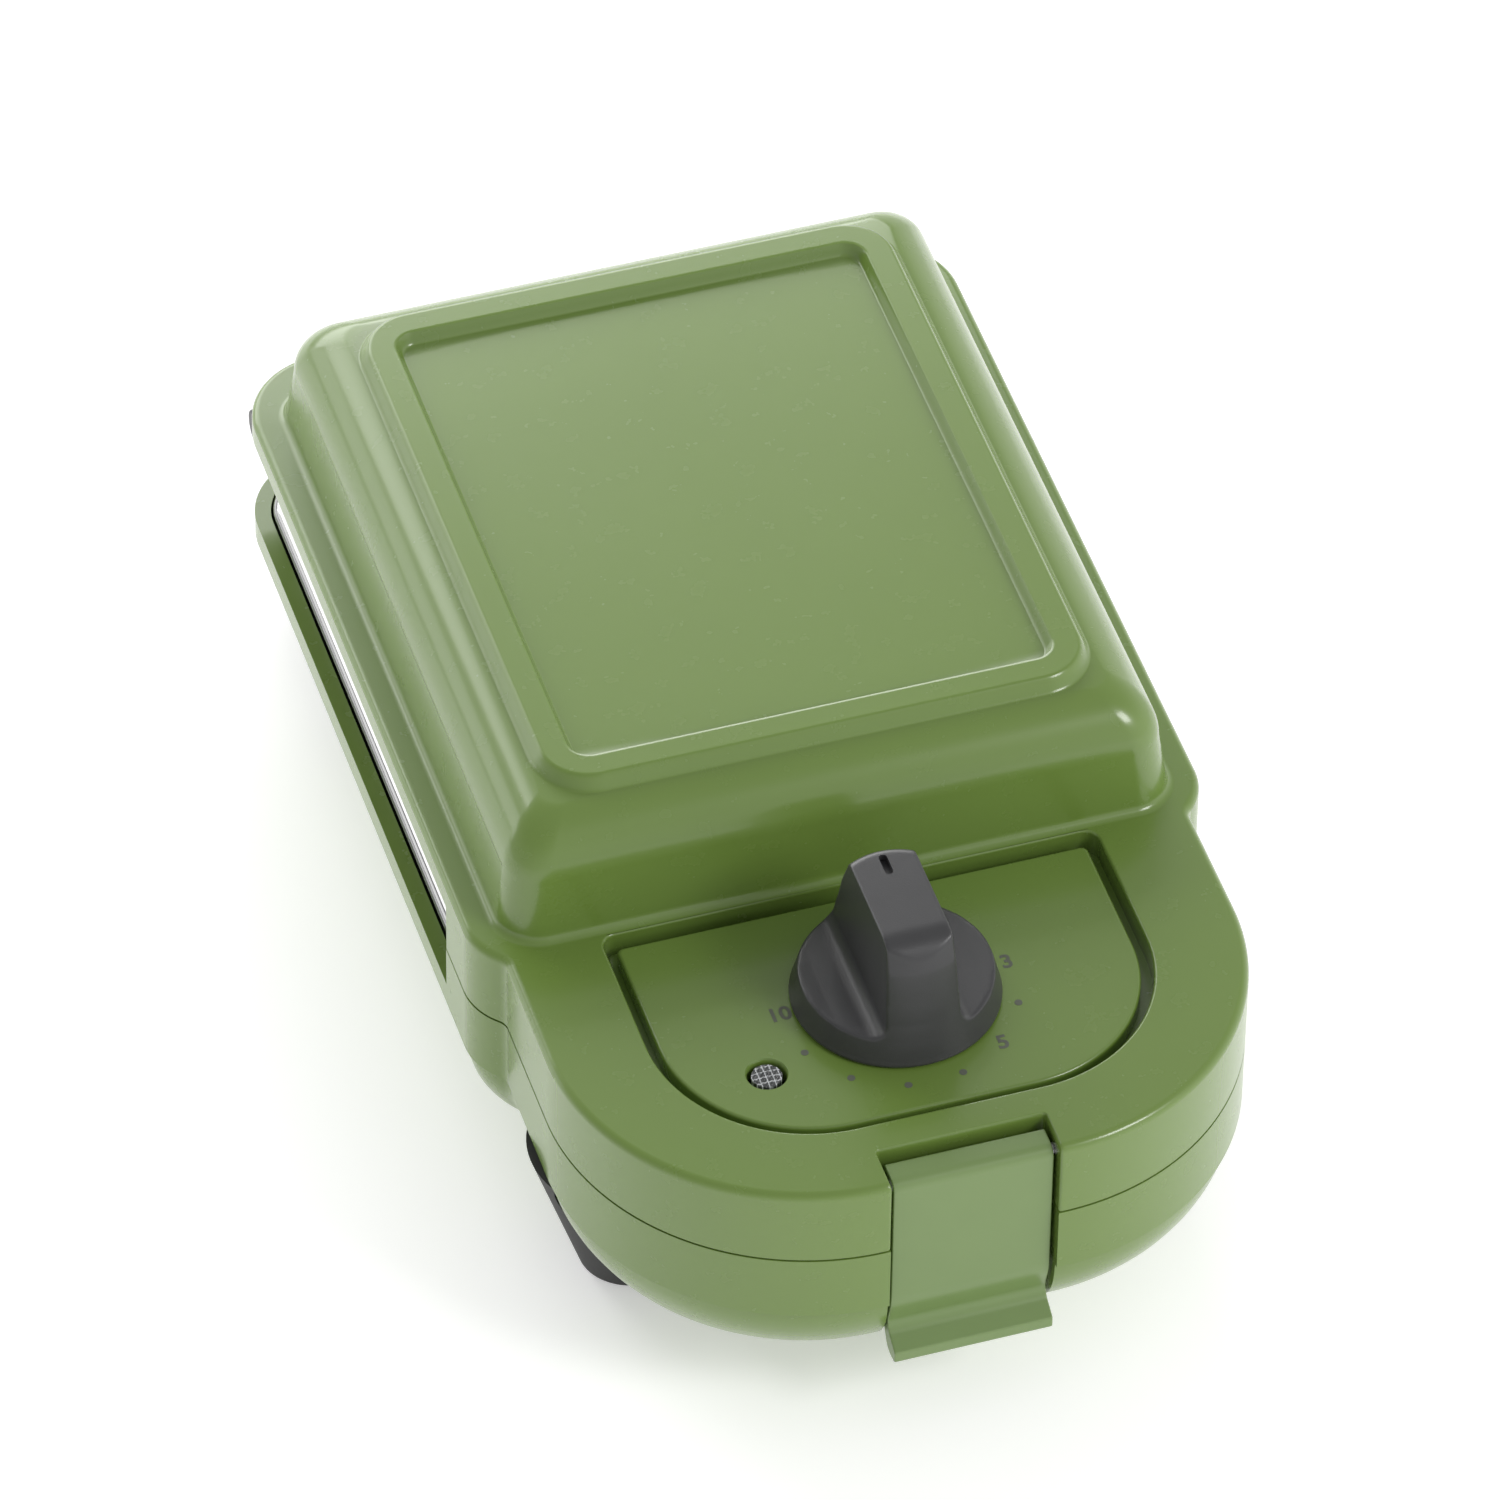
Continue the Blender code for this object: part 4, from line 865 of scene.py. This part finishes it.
def feet():
    base_z = BAND_Z - 0.0010
    for row, y in FOOT_PLACES.items():
        for side, x in (("left", -FOOT_X), ("right", FOOT_X)):
            profile = [(0, base_z), (FOOT_BOTTOM_R + FOOT_SLOPE * base_z, base_z)]
            profile += [(FOOT_BOTTOM_R + FOOT_SLOPE * 0.0016, 0.0016), (0.0090, 0.0008), (0.0086, 0.0003)]
            profile += [(0.0078, 0), (0.0062, 0), (0.0058, 0.0004), (0, 0.0004)]
            foot = turned(f"rubber_{row}_{side}", profile, (x, y, 0), "rubber", 72)
            cut(foot, loft("belly", belly_rings(-GAP, PARTING_Z)))
            smooth_shaded(foot, 30)
            stand_for(foot, "base", "rubber", f"foot_{row}_{side}")


def plate_frame(name, body, side, low, high, node, rounding):
    """Glossy black frame that carries a plate, with a rounded edge towards the other plate."""
    outline = rounded_outline(high[0], (low[1], high[1]), FRAME_CORNER_R)
    ring = prism(name, outline, low[2], high[2], "gloss_black")
    bevel(ring, rounding, 8, 60)
    plate_low, plate_high = LOWER_PLATE_LOW, LOWER_PLATE_HIGH
    far = low[2]
    if side > 0:
        plate_low, plate_high = UPPER_PLATE_LOW, UPPER_PLATE_HIGH
        far = high[2]
    seat_y = (plate_low[1] - PLATE_CLEARANCE, plate_high[1] + PLATE_CLEARANCE)
    seat_x = plate_high[0] + PLATE_CLEARANCE
    seat_z = sorted((PLATE_Z - side * 0.005, PLATE_Z + side * 0.0053))
    seat = prism("seat", rounded_outline(seat_x, seat_y, PLATE_CORNER_R + PLATE_CLEARANCE), *seat_z)
    ledge = 0.0022
    ledge_y = (seat_y[0] + ledge, seat_y[1] - ledge)
    window_z = sorted((PLATE_Z, far + side * 0.005))
    window = prism("window", rounded_outline(seat_x - ledge, ledge_y, 0.0072), *window_z)
    pocket_z = sorted((PLATE_Z - side * 0.002, PLATE_Z + side * 0.0037))
    pocket = box("pocket", (-0.0065, 0.0065), (-0.0227, -0.0161), pocket_z)
    slot = box("slot", (-0.0043, 0.0043), (-0.0170, -0.0120), pocket_z)
    tools = [seat, window, pocket, slot]
    if side > 0:
        for x in (-0.0200, 0.0200):
            tools.append(rod(f"leg_hole_{x}", (x, -0.030, 0.0590), (x, -0.005, 0.0590), 0.0035))
    cut(ring, *tools)
    round_edges(ring, 0.0003, lambda point: abs(point.z - PLATE_Z) < 0.0060, 60, 2)
    smooth_shaded(ring)
    return stand_for(ring, body, "black_plastic", node)


def donut_plate(name, body, side, low, high, node):
    """Non-stick plate with four half-donut cavities whose lips are rounded."""
    face = low[2] if side > 0 else high[2]
    back = face + side * 0.0047
    outline = rounded_outline(high[0], (low[1], high[1]), PLATE_CORNER_R)
    plate = prism(name, outline, *sorted((face - side * 0.002, back)), "non_stick")
    pitch_x, pitch_y = CAVITY_PITCH
    centres = [(x, PLATE_MID_Y + y) for x in (-pitch_x, pitch_x) for y in (-pitch_y, pitch_y)]
    for i, (x, y) in enumerate(centres):
        add(plate, torus(f"bulge_{i}", (x, y, PLATE_Z), CAVITY_TUBE_R + PLATE_WALL))
    cut(plate, box("face", (-0.08, 0.08), (-0.05, 0.13), sorted((face, face - side * 0.0200))))
    cut(plate, *[torus(f"cavity_{i}", (x, y, PLATE_Z), CAVITY_TUBE_R) for i, (x, y) in enumerate(centres)])
    round_edges(plate, 0.0007, lambda point: abs(point.z - face) < 0.0002, 40, 4)
    pocket_z = sorted((PLATE_Z + side * 0.0010, PLATE_Z + side * 0.0033))
    cut(plate, box("pocket", (-0.0043, 0.0043), (low[1] - 0.01, low[1] + 0.0023), pocket_z))
    smooth_shaded(plate)
    return stand_for(plate, body, "non_stick", node)


def hinge_housing():
    y, z = HINGE
    rear, top = HOUSING_HIGH[1], 0.0424
    corners = [(0.1030, 0.0120, 0.002), (rear, HOUSING_LOW[2], 0.003), (rear, top, 0.0016)]
    corners += [(0.1176, top, 0.0008), (0.1176, 0.0360, 0.0001), (0.1030, 0.0360, 0.0001)]
    housing = prism("rear_block", rounded_polygon(corners), -0.0620, 0.0620, "black_plastic", SIDE_VIEW)
    bevel(housing, 0.0015, 4, 60)
    cut(housing, loft("belly", belly_rings(-GAP, RIM_Z + GAP)))
    web = [(0.1121, 0.0413, 0.0001), (0.1182, 0.0413, 0.0001), (0.1182, 0.0400, 0.0001)]
    web += [(0.1235, 0.0400, 0.0001), (0.1235, 0.0418, 0.0001), (0.1168, 0.0430, 0.0008)]
    web += [(0.1168, z, 0.0001), (0.1132, z, 0.0001)]
    outline = rounded_polygon(web, 3)
    for side in (-1, 1):
        for near, far, web_far in ((0.0520, 0.0703, 0.0620), (0.0300, 0.0380, 0.0380)):
            span = sorted((side * near, side * web_far))
            add(housing, prism("web", outline, *span, frame_matrix=SIDE_VIEW))
            barrel = rod("barrel", (side * near, y, z), (side * far, y, z), 0.0036)
            bevel(barrel, 0.0005, 3, 60)
            add(housing, barrel)
        cut(housing, rod("bore", (side * 0.0280, y, z), (side * 0.0650, y, z), 0.0018))
    gland_seat = rod("gland_seat", (0.0420, 0.1240, 0.0240), CORD_HOLE[1], 0.0064)
    cut(housing, rod("cord_hole", *CORD_HOLE), gland_seat)
    smooth_shaded(housing)
    return stand_for(housing, "base", "black_plastic", "hinge_housing")


def screws():
    """Pan-head screws with a cross recess, under the lid's handle and under the base."""
    for kind, body in (("lid_screw", "lid"), ("base_screw", "base")):
        for number in range(1, 5):
            node = f"{kind}_{number}"
            low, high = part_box(node)
            x, y = (low[0] + high[0]) / 2, (low[1] + high[1]) / 2
            radius = (high[0] - low[0]) / 2
            profile = [(0, high[2]), (0.0014, high[2]), (0.0014, low[2] + 0.0013), (radius, low[2] + 0.0011)]
            profile += [(radius - 0.0003, low[2] + 0.0005), (radius * 0.7, low[2] + 0.0001), (0, low[2])]
            screw = turned(f"cross_head_{node}", profile, (x, y, 0), "steel", 40)
            depth = (low[2] - 0.0010, low[2] + 0.0007)
            cut(screw, box("bar", (x - 0.0016, x + 0.0016), (y - 0.0003, y + 0.0003), depth))
            cut(screw, box("bar", (x - 0.0003, x + 0.0003), (y - 0.0016, y + 0.0016), depth))
            smooth_shaded(screw, 30)
            stand_for(screw, body, "steel", node)


# ---------------------------------------------------------------- CAD nodes that stay
def finish_cad_nodes():
    slots = {row["node"]: row["material_slot"] for row in frame["record"]["subparts"]}
    for name, obj in frame["nodes"].items():
        for material_slot in obj.material_slots:
            material_slot.material = MATERIALS[slots[name]]
        obj.data.shade_smooth()
        obj.data.set_sharp_from_angle(angle=math.radians(35))


# ---------------------------------------------------------------- stage, light and camera
def stage():
    bm = bmesh.new()
    bmesh.ops.create_grid(bm, x_segments=1, y_segments=1, size=3.0)
    floor = add_object("floor", bm)
    material = moulded("floor_card", (0.88, 0.88, 0.88), 0.85, 500, 0.00001, 0.004)
    shader = material.node_tree.nodes["Principled BSDF"]
    shader.inputs["Emission Color"].default_value = (1, 1, 1, 1)
    shader.inputs["Emission Strength"].default_value = 0.36
    floor.data.materials.append(material)
    bpy.context.scene.world = studio_world()


def studio_world():
    """White surround that is brightest near the horizon and dimmer overhead."""
    world = bpy.data.worlds.new("studio")
    world.use_nodes = True
    tree = world.node_tree
    direction = tree.nodes.new("ShaderNodeTexCoord")
    axes = tree.nodes.new("ShaderNodeSeparateXYZ")
    strength = tree.nodes.new("ShaderNodeMapRange")
    strength.interpolation_type = "SMOOTHSTEP"
    strength.inputs["From Min"].default_value = 0.15
    strength.inputs["From Max"].default_value = 0.80
    strength.inputs["To Min"].default_value = 1.05
    strength.inputs["To Max"].default_value = 0.55
    tree.links.new(direction.outputs["Generated"], axes.inputs["Vector"])
    tree.links.new(axes.outputs["Z"], strength.inputs["Value"])
    across = tree.nodes.new("ShaderNodeMapRange")
    across.inputs["From Min"].default_value = -0.8
    across.inputs["From Max"].default_value = 0.8
    across.inputs["To Min"].default_value = 0.68
    across.inputs["To Max"].default_value = 1.12
    product = tree.nodes.new("ShaderNodeMath")
    product.operation = "MULTIPLY"
    tree.links.new(axes.outputs["X"], across.inputs["Value"])
    tree.links.new(strength.outputs["Result"], product.inputs[0])
    tree.links.new(across.outputs["Result"], product.inputs[1])
    tree.links.new(product.outputs["Value"], tree.nodes["Background"].inputs["Strength"])
    tree.nodes["Background"].inputs["Color"].default_value = (1, 1, 1, 1)
    return world


def softbox(name, place, target, size, power):
    light = bpy.data.lights.new(name, "AREA")
    light.shape = "RECTANGLE"
    light.size, light.size_y = size
    light.energy = power
    lamp = bpy.data.objects.new(name, light)
    bpy.context.scene.collection.objects.link(lamp)
    lamp.location = place
    lamp.rotation_mode = "QUATERNION"
    lamp.rotation_quaternion = (Vector(target) - Vector(place)).to_track_quat("-Z", "Y")


def camera():
    target = Vector((-0.0070, -0.0090, 0.0655))
    back = Vector((-0.2203, -0.6738, 0.7054)).normalized()
    roll = math.radians(0.72)
    lens = bpy.data.cameras.new("camera")
    lens.lens = 263.0
    lens.sensor_width = 36.0
    lens.clip_start, lens.clip_end = 0.1, 20
    view = bpy.data.objects.new("camera", lens)
    bpy.context.scene.collection.objects.link(view)
    view.location = target + back * 2.082
    view.rotation_mode = "QUATERNION"
    turn = Matrix.Rotation(roll, 3, "Z").to_quaternion()
    view.rotation_quaternion = (-back).to_track_quat("-Z", "Y") @ turn
    bpy.context.scene.camera = view


def studio():
    stage()
    softbox("back", (-0.15, 1.00, 0.56), (0, 0, 0.05), (1.2, 0.66), 10.5)
    softbox("left_back", (-0.85, 0.75, 0.28), (0, 0, 0.05), (0.6, 0.35), 1.2)
    softbox("right", (0.80, -0.92, 0.95), (0, 0, 0.05), (0.45, 0.45), 8.0)
    camera()
    bpy.context.scene.view_settings.view_transform = "Standard"
    bpy.context.scene.view_settings.look = "None"


def main():
    finish_cad_nodes()
    lid_cover()
    control_panel()
    dial_marks()
    pilot_lamp()
    timer_knob()
    latch()
    base_casing()
    feet()
    plate_frame("upper_ring", "lid", 1, UPPER_FRAME_LOW, UPPER_FRAME_HIGH, "upper_frame", 0.0012)
    plate_frame("lower_ring", "base", -1, LOWER_FRAME_LOW, LOWER_FRAME_HIGH, "lower_frame", 0.0022)
    donut_plate("upper_mould", "lid", 1, UPPER_PLATE_LOW, UPPER_PLATE_HIGH, "upper_plate")
    donut_plate("lower_mould", "base", -1, LOWER_PLATE_LOW, LOWER_PLATE_HIGH, "lower_plate")
    hinge_housing()
    screws()
    studio()


main()
